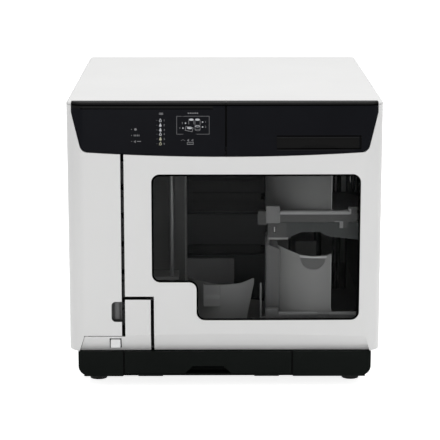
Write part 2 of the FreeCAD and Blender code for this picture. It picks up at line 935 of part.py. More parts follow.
def long_edge_at(height):
    """Test for the edges that run front to back at a height."""
    def matches(edge):
        first, last = edge.Vertexes[0].Point, edge.Vertexes[-1].Point
        return near(first.z, height) and near(last.z, height) and near(first.x, last.x)

    return matches


def make_base():
    base_front = depth(s.base_setback)
    base_back = rear - s.base_setback
    outer = box(-base_half, base_half, base_front, base_back, s.base_low, s.case_low)
    outer = soften(outer, s.base_round, long_edge_at(s.base_low))
    wall = s.base_wall
    ledge = 14
    inner_low = s.base_low + s.base_floor

    def hollow(y0, y1, high):
        room = box(wall - base_half, base_half - wall, y0, y1, inner_low, high)
        return soften(room, s.base_round - wall, long_edge_at(inner_low))

    cavity = hollow(base_front + ledge, base_back - wall, s.case_low + 1)
    lower = hollow(base_front + wall, base_front + ledge + 1, s.case_low - wall)
    gap = s.fit_gap
    mouth = box(s.drawer_left - gap, s.drawer_right + gap, front - 1, base_front + ledge + 2,
                s.drawer_low - gap, s.case_low + 1)
    runner = 3
    runners = [
        box(x, x + side * runner, base_front + ledge, depth(s.drawer_length) + 20,
            s.base_low + s.base_floor, s.case_low - 10)
        for x, side in ((s.drawer_left - gap - runner, 1), (s.drawer_right + gap, 1))
    ]
    idler_y = column_y - s.belt_width / 2 - 4.5
    idler = [
        box(s.belt_x - 7, s.belt_x + 7, idler_y, idler_y + 2, s.base_low + s.base_floor, s.belt_low + 7),
        cylinder(s.belt_x, idler_y, s.belt_low, s.belt_width + 6, 2, "y"),
    ]
    rails = [box(x, x + 30, base_front + 1, base_front + 40, s.base_low - 1.2, s.base_low) for x in (-105, 36)]
    part("base_tray", fuse(cut(outer, cavity, lower, mouth), *runners, *rails, *idler))


def make_feet():
    feet = []
    for x in (s.foot_side - base_half, base_half - s.foot_side):
        for y in (depth(s.foot_inset), rear - s.foot_inset):
            feet.append(cone(x, y, 0, s.base_low, s.foot_low_radius, s.foot_top_radius, name="foot"))
    part("rubber_feet", group(*feet))


def make_deck():
    side = half_width - s.shell_wall
    neck = half_width - 2 * s.hinge_radius - 3
    deck = fuse(
        box(-side, side, depth(s.side_seam) + 1, rear - s.shell_wall, s.case_low, deck_top),
        box(-neck, neck, depth(s.deck_front), depth(s.side_seam) + 2, s.case_low, deck_top),
    )
    chute = cylinder(s.drop_x, drop_y, s.case_low - 1, s.deck_thick + 2, s.disc_radius + 1.5)
    belt_slot = box(s.belt_x - 12, s.belt_x + 12, column_y - 10, column_y + 10, s.case_low - 1, deck_top + 1)
    part("deck_plate", cut(deck, chute, belt_slot))


def make_frames():
    y0 = depth(s.frame_front)
    y1 = rear - s.shell_wall
    thick = s.plate_thick
    frames = []
    for side in (1, -1):
        outer = frame_x * side
        inner = (frame_x - thick) * side
        low_x, high_x = (inner, outer) if side > 0 else (outer, inner)
        plate = box(low_x, high_x, y0, y1, deck_top, s.roof_high)
        pitch = s.frame_hole + s.frame_rib
        holes = [
            box(low_x - 1, high_x + 1, y1 - pitch * (column + 1), y1 - pitch * column - s.frame_rib,
                s.roof_high - pitch * (row + 2), s.roof_high - pitch * (row + 1) - s.frame_rib)
            for column in range(6) for row in range(2)
        ]
        frames.append(cut(plate, *holes))
    part("side_frames", group(*frames))
    neck = half_width - s.front_round - 2
    roof = fuse(
        box(-frame_x, frame_x, y0, y1, s.roof_high, s.roof_high + thick),
        box(-neck, neck, depth(s.panel_boss), y0 + 1, s.roof_high, s.roof_high + thick),
    )
    belt_slot = box(s.belt_x - 14, s.belt_x + 14, column_y - 12, column_y + 12, s.roof_high - 1,
                    s.roof_high + thick + 1)
    beam_low = s.panel_low + s.panel_rise + 8
    beam_back = depth(s.panel_boss + 26)
    beam = cut(
        box(-neck, neck, depth(s.panel_boss), beam_back, beam_low, s.roof_high),
        box(-neck - 1, neck + 1, depth(s.panel_boss) + thick, beam_back + 1, beam_low + thick,
            s.roof_high - thick),
    )
    part("roof_frame", fuse(cut(roof, belt_slot), beam))
    partition = box(s.partition_x - thick, s.partition_x, y0, depth(s.pillar_front), deck_top, s.roof_high)
    part("bay_partition", partition)


def make_drawer():
    wall = s.drawer_wall
    left, right = s.drawer_left, s.drawer_right
    face = box(left, right, depth(s.base_setback), depth(s.drawer_lip), s.drawer_low, s.drawer_high)
    pull = prism("xz", front - 1, depth(s.base_setback + s.pull_deep), [
        (s.drop_x - 36 - s.pull_width / 2, s.drawer_low - 1), (s.drop_x - 36 + s.pull_width / 2, s.drawer_low - 1),
        (s.drop_x - 46 + s.pull_width / 2, s.pull_high), (s.drop_x - 26 - s.pull_width / 2, s.pull_high),
    ], "drawer_pull")
    tray_low = s.base_low + s.base_floor + 0.3
    tray = box(left + wall, right - wall, depth(s.drawer_lip) - 1, depth(s.drawer_length), tray_low,
               s.drawer_high - 1)
    well = cylinder(s.drop_x, drop_y, s.well_floor, s.drawer_high, s.well_radius)
    recess = box(left + 2 * wall, s.drop_x - s.well_radius - wall, depth(s.drawer_lip) + wall,
                 depth(s.drawer_length) - wall, s.well_floor, s.drawer_high)
    back_recess = box(s.drop_x - s.well_radius, right - 2 * wall, drop_y + s.well_radius + wall,
                      depth(s.drawer_length) - wall, s.well_floor, s.drawer_high)
    front_recess = box(s.drop_x - s.well_radius, right - 2 * wall, depth(s.drawer_lip) + wall,
                       drop_y - s.well_radius - wall, s.well_floor, s.drawer_high)
    finger = box(s.drop_x - 14, s.drop_x + 14, drop_y - s.well_radius - wall - 3, drop_y + s.well_radius + wall + 3,
                 s.well_floor, s.drawer_high)
    part("stacker_drawer", cut(fuse(face, tray), pull, well, recess, back_recess, front_recess, finger))


# ---------------------------------------------------------------- disc bay


def stacker_wall(x, y, low, radius, height, angle, facing, name):
    wall = s.stacker_wall
    return revolve([
        (radius - wall, 0), (radius, 0), (radius, height), (radius - wall, height),
    ], x, y, low, name, angle, facing)


def make_stacker(name, floor_low):
    """Open cup for a stack of discs: a high left wall, a sloping rim and a lipped, dished front."""
    radius = s.stacker_radius
    top = floor_low + stacker_tall
    x = s.stack_x
    wall = stacker_wall(x, stack_y, floor_low, radius, stacker_tall, s.stacker_wrap, s.stacker_facing, name)
    floor = cylinder(x, stack_y, floor_low, s.stacker_floor, radius - s.stacker_wall / 2)
    hub = cylinder(x, stack_y, floor_low, s.stacker_floor + 2, s.hub_flat_radius)
    bore = cylinder(x, stack_y, floor_low - 1, s.stacker_floor + 4, s.hub_bore_radius)
    lip_high = top - s.lip_drop
    lip = common(
        cut(
            cylinder(x, stack_y, lip_high - s.lip_height, s.lip_height, radius + s.lip_proud),
            cylinder(x, stack_y, lip_high - s.lip_height - 1, s.lip_height + 2, radius - s.stacker_wall),
        ),
        box(x - 23.3, x + 8.8, front, stack_y, lip_high - s.lip_height - 1, top),
    )
    rim = prism("xz", front, stack_y, [
        (x - 50, top + 5), (x - 50, top - s.stacker_step), (x - 26, top - s.stacker_step - s.stacker_slope),
        (x - 23.3, lip_high), (x - 7, lip_high - 1), (x + 8.8, lip_high), (x + 14, lip_high + 2),
        (x + radius, lip_high + 2), (x + radius, top + 5),
    ], "rim_cut")
    dish = common(
        cut(
            cylinder(x, stack_y, floor_low, stacker_tall, radius + 1),
            cylinder(x, stack_y, floor_low - 1, stacker_tall + 2, radius - s.dish_deep),
        ),
        cylinder(x - 7.6, front, lip_high - s.lip_height + 0.6, s.stack_back, s.dish_radius, "y"),
        box(x - radius, x + radius, front, stack_y, floor_low, lip_high - s.lip_height),
    )
    part(name, cut(fuse(wall, floor, hub, lip), bore, rim, dish))


def make_stack_supports():
    """Lower slide plate on its stand, upper shelf on its post and wall brackets."""
    clearance = cylinder(s.drop_x, drop_y, 0, s.case_height, s.drop_clear)
    left, right = s.shelf_left, s.shelf_right
    y0, y1 = depth(s.shelf_front), depth(s.shelf_back)
    stand = cut(
        box(left + 2, right, y0 + 8, y1, deck_top, s.slide_low),
        box(left + 8, right - 6, y0 + 14, y1 - 6, deck_top - 1, s.slide_low - 3),
        clearance,
    )
    part("stacker_stand", stand)
    slide = cut(
        fuse(
            box(left, right, y0 + 4, y1, s.slide_low, low_floor),
            box(left - 1, left + 14.5, y0 + 1, y0 + 10, s.slide_low, s.slide_low + s.low_block_high),
            box(left + 14, right - 8, y0, y0 + 8, s.slide_low + 3, s.slide_low + s.low_bar_high - 2),
            cylinder(left + 14, y0 + 2.4, s.slide_low + s.low_bar_high - 2.4, right - left - 22,
                     s.shelf_lip_radius, "x"),
            box(left - 8, left + 1, y0 + 2, y0 + 8, s.slide_low, low_floor),
            box(left - 8, left - 6, y0 + 2, y0 + 8, s.slide_low, s.slide_low + s.low_block_high + 31),
            box(s.stack_x - 23, s.stack_x + 4, y1 - 4, y1, s.slide_low, s.slide_low + s.back_stop_high),
        ),
        clearance,
        cylinder(s.stack_x, stack_y, low_floor, s.back_stop_high + 10, s.stacker_radius + 0.3),
        box(s.stack_x - 2, s.stack_x + 12, y0 - 1, y0 + 2.6, low_floor, low_floor + 30),
    )
    part("lower_slide_plate", slide)
    shelf_top = s.shelf_low + s.shelf_thick
    shelf = cut(
        fuse(
            box(left, right - 6, y0 + 6, y1, s.shelf_low + 6, shelf_top - 2),
            box(left - 0.7, left + 15.8, y0 + 3, y0 + 12, s.shelf_low, shelf_top + 6.8),
            box(left + 15, right - 17, y0, y0 + 10, s.shelf_low + 2, shelf_top),
            cylinder(left + 17, y0 + 2.4, shelf_top - 0.4, right - left - 35, s.shelf_lip_radius, "x"),
            box(right - 18.8, right - 8.2, y0 + 2, y0 + 10, s.shelf_low + 2, shelf_top + 6.3),
            box(right - 29, right - 19.3, y0 + 1, y0 + 5, s.shelf_low - 5.7, s.shelf_low + 4),
            box(left - 10.5, left, y0 + 12, y0 + 22, s.shelf_low - 4, shelf_top - 1),
        ),
        clearance,
        cylinder(s.stack_x, stack_y, shelf_top - 2.01, 30, s.stacker_radius + 0.3),
    )
    part("upper_slide_shelf", shelf)
    rail_low = s.shelf_low + 6
    bracket = cut(
        fuse(
            box(right - 6, frame_x - s.plate_thick, y0 + 23, y1, s.shelf_low - 12, shelf_top - 2),
            box(right - 6, right - 3, y0 + 8, y0 + 24, s.shelf_low - 12, s.shelf_low),
            box(left + 2, right - 6, y1 - 12, y1, s.shelf_low - 12, rail_low),
        ),
        box(right - 3, frame_x, y0 + 20, y1 - 6, s.shelf_low - 13, shelf_top - 8),
        clearance,
    )
    post = fuse(
        box(left + 1.5, left + 4, y0 + 30, y0 + 44, low_floor, s.shelf_low - 2),
        box(left + 2, left + 24, y0 + 8, y0 + 44, s.shelf_low - s.apron_drop, s.shelf_low - 2),
        box(left + 2, left + 26, y0 + 7, y0 + 9, s.shelf_low - s.apron_drop, s.shelf_low - s.apron_drop + 2.4),
    )
    arch = s.shelf_low - s.arch_drop
    apron = prism("xz", y0 + 8, y0 + 12, [
        (left + 20, s.shelf_low - s.apron_drop), (left + 24, s.shelf_low - s.apron_drop + 1),
        (left + 42, arch), (left + 64, arch), (left + 75, s.shelf_low - s.apron_drop + 3),
        (right - 20, s.shelf_low - s.apron_drop + 1.4), (right - 5, s.shelf_low - s.apron_drop - 1),
        (right - 5, s.shelf_low), (left + 16, s.shelf_low), (left + 16, s.shelf_low - 5),
        (left + 20, s.shelf_low - 5),
    ], "apron")
    slit = box(left + 8.3, left + 11, y0, y0 + 50, s.shelf_low - 13, s.shelf_low - 5)
    inside = cylinder(s.stack_x, stack_y, low_floor, s.shelf_low, s.stacker_radius + 0.6)
    cup_room = common(inside, box(left, right, y0, y1, 0, low_floor + stacker_tall + 7))
    part("shelf_frame", fuse(bracket, cut(post, slit, cup_room), cut(apron, cup_room)))


def make_small_stacker():
    """Low cup at the drop: a rim that rises to a tip at the right, and a lifting tab at its left."""
    radius = s.small_stacker_radius
    wall = s.stacker_wall
    height = s.small_stacker_height
    x = s.drop_x
    rim = deck_top + s.small_stacker_rim
    ring = revolve([
        (radius - wall, 0), (radius, 0), (radius + 1.4, height), (radius + 1.4 - wall, height),
    ], x, drop_y, deck_top, "small_stacker", s.small_stacker_wrap, s.small_stacker_facing)
    floor = cylinder(x, drop_y, deck_top, 2.4, radius + 0.2)
    bore = cylinder(x, drop_y, deck_top - 1, 6, s.hub_bore_radius)
    hub = cylinder(x, drop_y, deck_top, 4, s.hub_flat_radius - 2)
    rear_low = box(x - radius - 5, x + radius, drop_y - 20, drop_y + radius + 5, rim - 6, deck_top + height + 1)
    dip = prism("xz", drop_y - radius - 10, drop_y - 20, [
        (x - radius - 5, deck_top + height + 1), (x - radius - 5, rim + 1), (x - 42, rim + 1), (x - 22, rim),
        (x + 5.3, rim + 2.8), (x + 22.4, deck_top + height + 1),
    ], "rim_dip")
    end = prism("xz", drop_y - radius - 10, drop_y - 20, [
        (x + 12.6, deck_top + 8), (x + 23.5, deck_top + height + 2), (x + radius, deck_top + height + 2),
        (x + radius, deck_top + 8),
    ], "wall_end")
    tab_x = x - 21 - s.tab_width
    tab_y = drop_y - radius
    tab = cut(
        prism("yz", tab_x, tab_x + s.tab_width, [
            (tab_y + 14, rim), (tab_y + 2, rim), (tab_y - s.tab_proud, deck_top + s.tab_ledge_high),
            (tab_y - s.tab_proud, deck_top + s.tab_ledge), (tab_y - s.tab_proud + 2.5, deck_top + s.tab_ledge),
            (tab_y - s.tab_proud + 2.5, deck_top + s.tab_low), (tab_y + 14, deck_top + s.tab_low),
        ], "tab"),
        cylinder(x, drop_y, 0, s.case_height, radius - wall),
    )
    part("stacker_3", cut(fuse(ring, floor, hub, tab), bore, dip, rear_low, end))


# ---------------------------------------------------------------- drives


def tray_shape(low, thick, name):
    """Sliding disc tray: round at the front about the disc's centre, straight behind it."""
    half = s.tray_width / 2
    centre = depth(s.tray_start)
    rounded = cylinder(s.drop_x, centre, low, thick, half - s.tray_gap / 2)
    straight = box(s.drop_x - half + s.tray_gap / 2, s.drop_x + half - s.tray_gap / 2, centre, centre + half + 2,
                   low, low + thick)
    well = cylinder(s.drop_x, centre, low + thick - s.disc_well_deep, thick, s.disc_well)
    spindle = box(s.drop_x - 17, s.drop_x + 17, centre - 17, centre + half - 20, low - 1, low + thick + 1)
    return cut(fuse(rounded, straight), well, spindle)


housings, bezels, spindles, laser_units = [], [], [], []


def make_drive(number):
    low = s.drive_low + s.drive_height * (2 - number)
    high = low + s.drive_height
    left = s.drop_x - s.drive_width / 2
    right = s.drop_x + s.drive_width / 2
    y0 = depth(s.drive_front)
    body_front = y0 + s.bezel_thick
    back = y0 + s.drive_length
    skin_wall = s.drive_skin
    housing = cut(
        box(left, right, body_front, back, low, high),
        box(left + skin_wall, right - skin_wall, body_front - 1, back - skin_wall, low + skin_wall,
            high - skin_wall),
    )
    tray_low = low + s.tray_rise
    half_slot = s.tray_width / 2 + s.tray_gap
    guides = [
        box(x, x + 9, body_front, back - skin_wall, tray_low - 4, tray_low)
        for x in (left + skin_wall, right - skin_wall - 9)
    ]
    housings.append(fuse(housing, *guides))
    slot = box(s.drop_x - half_slot, s.drop_x + half_slot, y0 - 1, body_front + 1, tray_low - s.tray_gap,
               tray_low + s.tray_thick + s.tray_gap)
    eject_x = right - 22
    eject_z = low + 6
    gap = s.fit_gap
    hole = box(eject_x - gap, eject_x + s.eject_width + gap, y0 - 1, body_front + 1, eject_z - gap,
               eject_z + s.eject_height + gap)
    bezel = cut(box(left - 0.5, right + 0.5, y0, body_front, low + 0.2, high - 0.2), slot, hole)
    bezels.append(bezel)
    part(f"drive_{number}_tray", tray_shape(tray_low, s.tray_thick, "tray"))
    button = fuse(
        box(eject_x, eject_x + s.eject_width, y0 - 1, body_front + 4, eject_z, eject_z + s.eject_height),
        box(eject_x + 3, eject_x + s.eject_width - 3, body_front + 4, body_front + 10, eject_z + 1,
            eject_z + s.eject_height - 1),
    )
    part(f"drive_{number}_eject_button", button)
    motor = fuse(
        cylinder(s.drop_x, depth(s.tray_start), low + skin_wall, 6, 15),
        cylinder(s.drop_x, depth(s.tray_start), low + skin_wall, s.tray_rise - 6, 7.4),
    )
    laser = box(s.drop_x - 12, s.drop_x + 12, depth(s.tray_start) + 22, depth(s.tray_start) + 50,
                low + skin_wall, low + 11)
    spindles.append(motor)
    laser_units.append(laser)


def make_drives():
    make_drive(1)
    make_drive(2)
    part("drive_housings", group(*housings))
    part("drive_bezels", group(*bezels))
    part("drive_mechanisms", group(*spindles, *laser_units))


def make_drive_cage():
    left = s.drop_x - s.drive_width / 2 - s.plate_thick
    right = s.drop_x + s.drive_width / 2 + s.plate_thick
    y0 = depth(s.drive_front + s.bezel_thick)
    back = y0 + s.drive_length
    high = s.drive_low + 2 * s.drive_height + s.plate_thick
    low = s.printer_high
    cage = cut(
        box(left, right, y0 + 6, back, low, high),
        box(left + s.plate_thick, right - s.plate_thick, y0 - 1, back + 1, s.drive_low, high - s.plate_thick),
        box(left + 12, right - 12, y0 - 1, back + 1, low + s.plate_thick, s.drive_low + 1),
    )
    part("drive_cage", cage)
    board_low = high + 5
    board = fuse(
        box(left + 4, right - 4, y0 + 12, back - 10, board_low, board_low + 1.6),
        box(left + 20, left + 60, y0 + 40, y0 + 80, board_low + 1.6, board_low + 8),
        box(right - 44, right - 14, y0 + 30, y0 + 60, board_low + 1.6, board_low + 6),
        box(left + 16, right - 40, back - 24, back - 12, board_low + 1.6, board_low + 12),
    )
    posts = [
        cylinder(x, y, high, board_low - high, 3)
        for x in (left + 9, right - 9) for y in (y0 + 18, back - 18)
    ]
    part("control_board", board)
    part("board_standoffs", group(*posts))


# ---------------------------------------------------------------- label printer


def make_printer():
    left, right = s.printer_left, s.printer_right
    y0, y1 = depth(s.drive_front), depth(s.printer_back)
    thick = s.plate_thick
    slot_low = s.print_tray_low - s.tray_gap
    slot_high = s.print_tray_low + s.tray_thick + 6
    chassis = cut(
        box(left, right, y0 + 4, y1, deck_top, s.printer_high),
        box(left + thick, right - thick, y0, y1 - thick, deck_top + thick, s.printer_high - thick),
    )
    rail_y = depth(s.rail_back)
    rail_hole = cylinder(left - 1, rail_y, s.rail_high, right - left + 2, s.rail_radius + s.running_gap, "x")
    shelf_rails = [
        box(x, x + 12, y0 + 4, y1 - thick, s.print_tray_low - 3, s.print_tray_low)
        for x in (s.drop_x - s.tray_width / 2 - 2, s.drop_x + s.tray_width / 2 - 10)
    ]
    stands = [
        box(x, x + 3, y0 + 4, y1 - thick, deck_top, s.print_tray_low - 3)
        for x in (s.drop_x - s.tray_width / 2 - 2, s.drop_x + s.tray_width / 2 - 1)
    ]
    belt_y = rail_y + s.carriage_depth / 2 + 3
    belt_ends = (left + 13, right - 13)
    pins = []
    for x, low_x, high_x in ((belt_ends[0], left, left + 18), (belt_ends[1], right - 18, right)):
        pins.append(box(low_x, high_x, belt_y + 5.6, belt_y + 8, s.rail_high - 6, s.rail_high + 6))
        pins.append(cylinder(x, belt_y, s.rail_high, 7, 2, "y"))
    part("printer_chassis", cut(fuse(chassis, *shelf_rails, *stands, *pins), rail_hole))
    slot = box(s.drop_x - s.tray_width / 2 - s.tray_gap, s.drop_x + s.tray_width / 2 + s.tray_gap, y0 - 1, y0 + 5,
               slot_low, slot_high)
    part("printer_front", cut(box(left, right, y0, y0 + 4, deck_top, s.printer_high - 0.2), slot))
    part("printer_fascia", box(s.drop_x - s.fascia_left_reach, s.drop_x - s.fascia_right_reach,
                               y0 - s.bezel_thick, y0, s.fascia_low, s.fascia_high))
    part("print_tray", tray_shape(s.print_tray_low, s.tray_thick, "print_tray"))
    part("carriage_rail", cylinder(left, rail_y, s.rail_high, right - left, s.rail_radius, "x"))
    home = right - thick - 2 - s.carriage_width
    carriage = box(home, home + s.carriage_width, rail_y - s.carriage_depth / 2, rail_y + s.carriage_depth / 2,
                   s.carriage_low, s.carriage_high)
    bore = cylinder(home - 1, rail_y, s.rail_high, s.carriage_width + 2, s.rail_radius + s.running_gap, "x")
    part("print_carriage", cut(carriage, bore))
    belt = cut(belt_loop(belt_ends, belt_y, belt_y + 5, 7), belt_loop(belt_ends, belt_y - 1, belt_y + 6, 5.8))
    wheels = [
        cut(cylinder(x, belt_y + 0.2, s.rail_high, 4.6, 5.6, "y"), cylinder(x, belt_y, s.rail_high, 6, 2.1, "y"))
        for x in belt_ends
    ]
    part("carriage_belt", group(belt, *wheels))


def belt_loop(ends, y0, y1, radius):
    """Stadium that runs along X between two wheel centres."""
    return fuse(
        *[cylinder(x, y0, s.rail_high, y1 - y0, radius, "y") for x in ends],
        box(ends[0], ends[1], y0, y1, s.rail_high - radius, s.rail_high + radius),
    )


# ---------------------------------------------------------------- arm mechanism


def make_column():
    rise = s.roof_high - deck_top
    part("arm_column", group(
        cylinder(s.column_x, column_y, deck_top, rise, s.shaft_radius),
        cylinder(s.belt_x, column_y + s.guide_offset, deck_top, rise, s.guide_radius),
    ))
    radius = s.belt_pulley_radius
    thick = s.belt_thick
    high, low = s.belt_high, s.belt_low
    width = s.belt_width

    def loop(size, y0, y1):
        return fuse(
            cylinder(s.belt_x, y0, low, y1 - y0, size, "y"),
            cylinder(s.belt_x, y0, high, y1 - y0, size, "y"),
            box(s.belt_x - size, s.belt_x + size, y0, y1, low, high),
        )

    y0 = column_y - width / 2
    y1 = column_y + width / 2
    part("lift_belt", cut(loop(radius + thick, y0, y1), loop(radius, y0 - 1, y1 + 1)))
    for name, z in (("lift_pulley_upper", high), ("lift_pulley_lower", low)):
        wheel = fuse(
            cylinder(s.belt_x, y0, z, width, radius - 0.2, "y"),
            cylinder(s.belt_x, y0 - 1.5, z, 1.2, radius + thick + 0.6, "y"),
            cylinder(s.belt_x, y1 + 0.3, z, 1.2, radius + thick + 0.6, "y"),
        )
        wheel = cut(fuse(wheel, cylinder(s.belt_x, y0 - 1.5, z, width + 3, 4, "y")),
                    cylinder(s.belt_x, y0 - 3, z, width + 6, 2.05, "y"))
        part(name, wheel)
    motor_radius = 11
    plate_y = y0 - 4.5
    motor = fuse(
        cylinder(s.belt_x, plate_y - 28, high, 28, motor_radius, "y"),
        box(s.belt_x - 12, s.belt_x + 12, plate_y, plate_y + 2, high - 12, s.roof_high),
        cylinder(s.belt_x, plate_y, high, y1 - plate_y + 2, 2, "y"),
    )
    part("lift_motor", motor)


def make_arm():
    x, y = s.column_x, column_y
    low, high = s.lift_low, s.lift_high
    bore = cylinder(x, y, low - 1, 60, s.shaft_radius + s.running_gap)
    guide_y = column_y + s.guide_offset
    sleeve = cylinder(x, y, low, high - low, 13)
    clamp_x = s.belt_x - s.belt_pulley_radius
    bridge = box(x, clamp_x, y - 7, y + 7, low, high)
    guide_arm = box(x + 2, s.belt_x + 7, guide_y - 7, guide_y + 7, low, high)
    link = box(x + 2, x + 16, y, guide_y, low, high)
    guide_bore = cylinder(s.belt_x, guide_y, low - 1, high - low + 2, s.guide_radius + s.running_gap)
    slot = box(clamp_x - s.belt_thick - 0.2, clamp_x + 1, y - s.belt_width / 2 - 0.2, y + s.belt_width / 2 + 0.2,
               low - 1, high + 1)
    part("lift_carriage", cut(fuse(sleeve, bridge, guide_arm, link), bore, guide_bore, slot))
    reach_x = s.drop_x - s.column_x
    reach_y = s.drop_back - s.column_back
    reach = root(reach_x * reach_x + reach_y * reach_y)
    angle = math.degrees(math.atan2(reach_y.value, reach_x.value))
    arm_high = s.arm_low + s.arm_thick
    half = s.arm_width / 2

    def along_arm(points, low, high, shape_name):
        shape = prism("xy", low, high, points, shape_name)
        shape.Placement = FreeCAD.Placement(Vector(), FreeCAD.Rotation(Vector(0, 0, 1), angle))
        place(shape, x, y, low)
        return shape

    beam = along_arm([
        (0, -half), (reach * 0.3, -half), (reach * 0.7, -half * 0.75), (reach, -half * 0.75),
        (reach, half * 0.75), (reach * 0.7, half * 0.75), (reach * 0.3, half), (0, half),
    ], s.arm_low, arm_high, "arm_beam")
    inner = half * 0.75 - s.arm_skin
    first = s.hub_radius + s.arm_skin
    last = reach - s.grip_head_radius - s.arm_skin
    cell = (last - first - s.arm_rib * 2) / 3
    pockets = []
    for index in range(3):
        begin = first + (cell + s.arm_rib) * index
        pockets.append(along_arm([
            (begin, -inner), (begin + cell, -inner), (begin + cell, inner), (begin, inner),
        ], s.arm_low + s.arm_web, arm_high + 1, f"arm_pocket_{index + 1}"))
    slit_start, slit_half = -s.hub_radius - 1, 0.8
    clamp_slot = along_arm([
        (slit_start, -slit_half), (-s.shaft_radius, -slit_half), (-s.shaft_radius, slit_half),
        (slit_start, slit_half),
    ], high, arm_high + 1, "clamp_slot")
    hub = cylinder(x, y, high + 0.3, arm_high - high - 0.3, s.hub_radius)
    head = cylinder(s.drop_x, drop_y, s.arm_low, s.arm_thick - 2, s.grip_head_radius)
    hollow = cylinder(s.drop_x, drop_y, s.arm_low - 1, s.arm_thick - 4, s.grip_head_radius - 2.5)
    part("swing_arm", cut(fuse(beam, hub, head), bore, hollow, clamp_slot, *pockets))
    claws = []
    for index in range(3):
        turn = 120 * index + 30
        claw = common(
            cut(
                cone(s.drop_x, drop_y, s.claw_low, 4, s.claw_radius - 1.2, s.claw_radius),
                cylinder(s.drop_x, drop_y, s.claw_low - 1, 30, 3),
            ),
            cylinder(s.drop_x + 6 * math.cos(math.radians(turn)), drop_y + 6 * math.sin(math.radians(turn)),
                     s.claw_low - 1, 30, 4),
        )
        claws.append(claw)
    plate = cylinder(s.drop_x, drop_y, s.claw_low + 4, s.arm_low + s.arm_thick - 5 - s.claw_low - 4,
                     s.claw_radius)
    part("grip_claws", fuse(plate, *claws))


# ---------------------------------------------------------------- left bay


def make_left_bay():
    right = s.pillar_right
    y0 = depth(s.pillar_front)
    pillar = prism("xy", deck_top, s.roof_high, [
        (s.partition_x, y0), (right, y0), (right, y0 + s.pillar_thick), (s.partition_x, y0 + s.pillar_thick),
    ], "pillar", [(right, y0, 5), (right, y0 + s.pillar_thick, 5)])
    part("centre_pillar", pillar)
    rod_y = depth(s.rod_back)
    brackets = []
    for low in (s.ledge_low, s.roof_high - 8):
        bracket = cut(
            box(s.partition_x, s.rod_x + 9, rod_y - 8, y0, low, low + s.ledge_thick),
            cylinder(s.rod_x, rod_y, low - 1, s.ledge_thick + 2, s.guide_radius + 0.1),
        )
        brackets.append(bracket)
    part("rod_brackets", group(*brackets))
    rod = fuse(
        cylinder(s.rod_x, rod_y, s.ledge_low - 2, s.roof_high - 2 - s.ledge_low, s.guide_radius),
        cylinder(s.rod_x, rod_y, s.ledge_low - 3, 3, s.guide_radius + 1.5),
    )
    part("guide_rod", rod)
    holder_left = -frame_x + s.plate_thick
    holder_right = s.partition_x - s.plate_thick
    wall = s.ink_wall
    y1 = depth(s.ink_front + 6)
    y2 = depth(s.ink_front + s.ink_length + 8)
    count = sizes["ink_count"]
    holder = box(holder_left, holder_right, y1 + 22, y2, s.ink_low - wall, s.ink_low + s.ink_pitch * count)
    pockets = [
        box(holder_left + wall, holder_right - wall, y1, y2 - wall, s.ink_low + s.ink_pitch * index,
            s.ink_low + s.ink_pitch * (index + 1) - wall)
        for index in range(count)
    ]
    foot = box(holder_left, holder_right, y2 - 30, y2, deck_top, s.ink_low - wall)
    part("ink_holder", fuse(cut(holder, *pockets), foot))
    cartridges = []
    for index in range(count):
        low = s.ink_low + s.ink_pitch * index
        gap = 0.6
        body = box(holder_left + wall + gap, holder_right - wall - gap, y1, y1 + s.ink_length, low,
                   low + s.ink_height)
        grip = box(holder_left + wall + 14, holder_right - wall - 14, y1 - 1, y1 + 5, low + s.ink_height - 9,
                   low + s.ink_height - 3)
        cartridges.append(cut(body, grip))
    part("ink_cartridges", group(*cartridges))
    part("power_supply", fuse(
        box(holder_left + s.supply_side, holder_right - s.supply_side, y2 + s.supply_front, rear - s.supply_back,
            deck_top, deck_top + s.supply_height),
        box(holder_left + 10, holder_right - 10, y2 + s.supply_front - s.supply_face, y2 + s.supply_front,
            deck_top + 10, deck_top + s.supply_height - 10),
    ))


# ---------------------------------------------------------------- rear


def blade_at(blade, around, pitch):
    """A blade drawn along +X, pitched about its length and turned about the hub's axis."""
    pitched = group(blade)
    pitched.Placement = FreeCAD.Placement(Vector(), around * pitch)
    return pitched


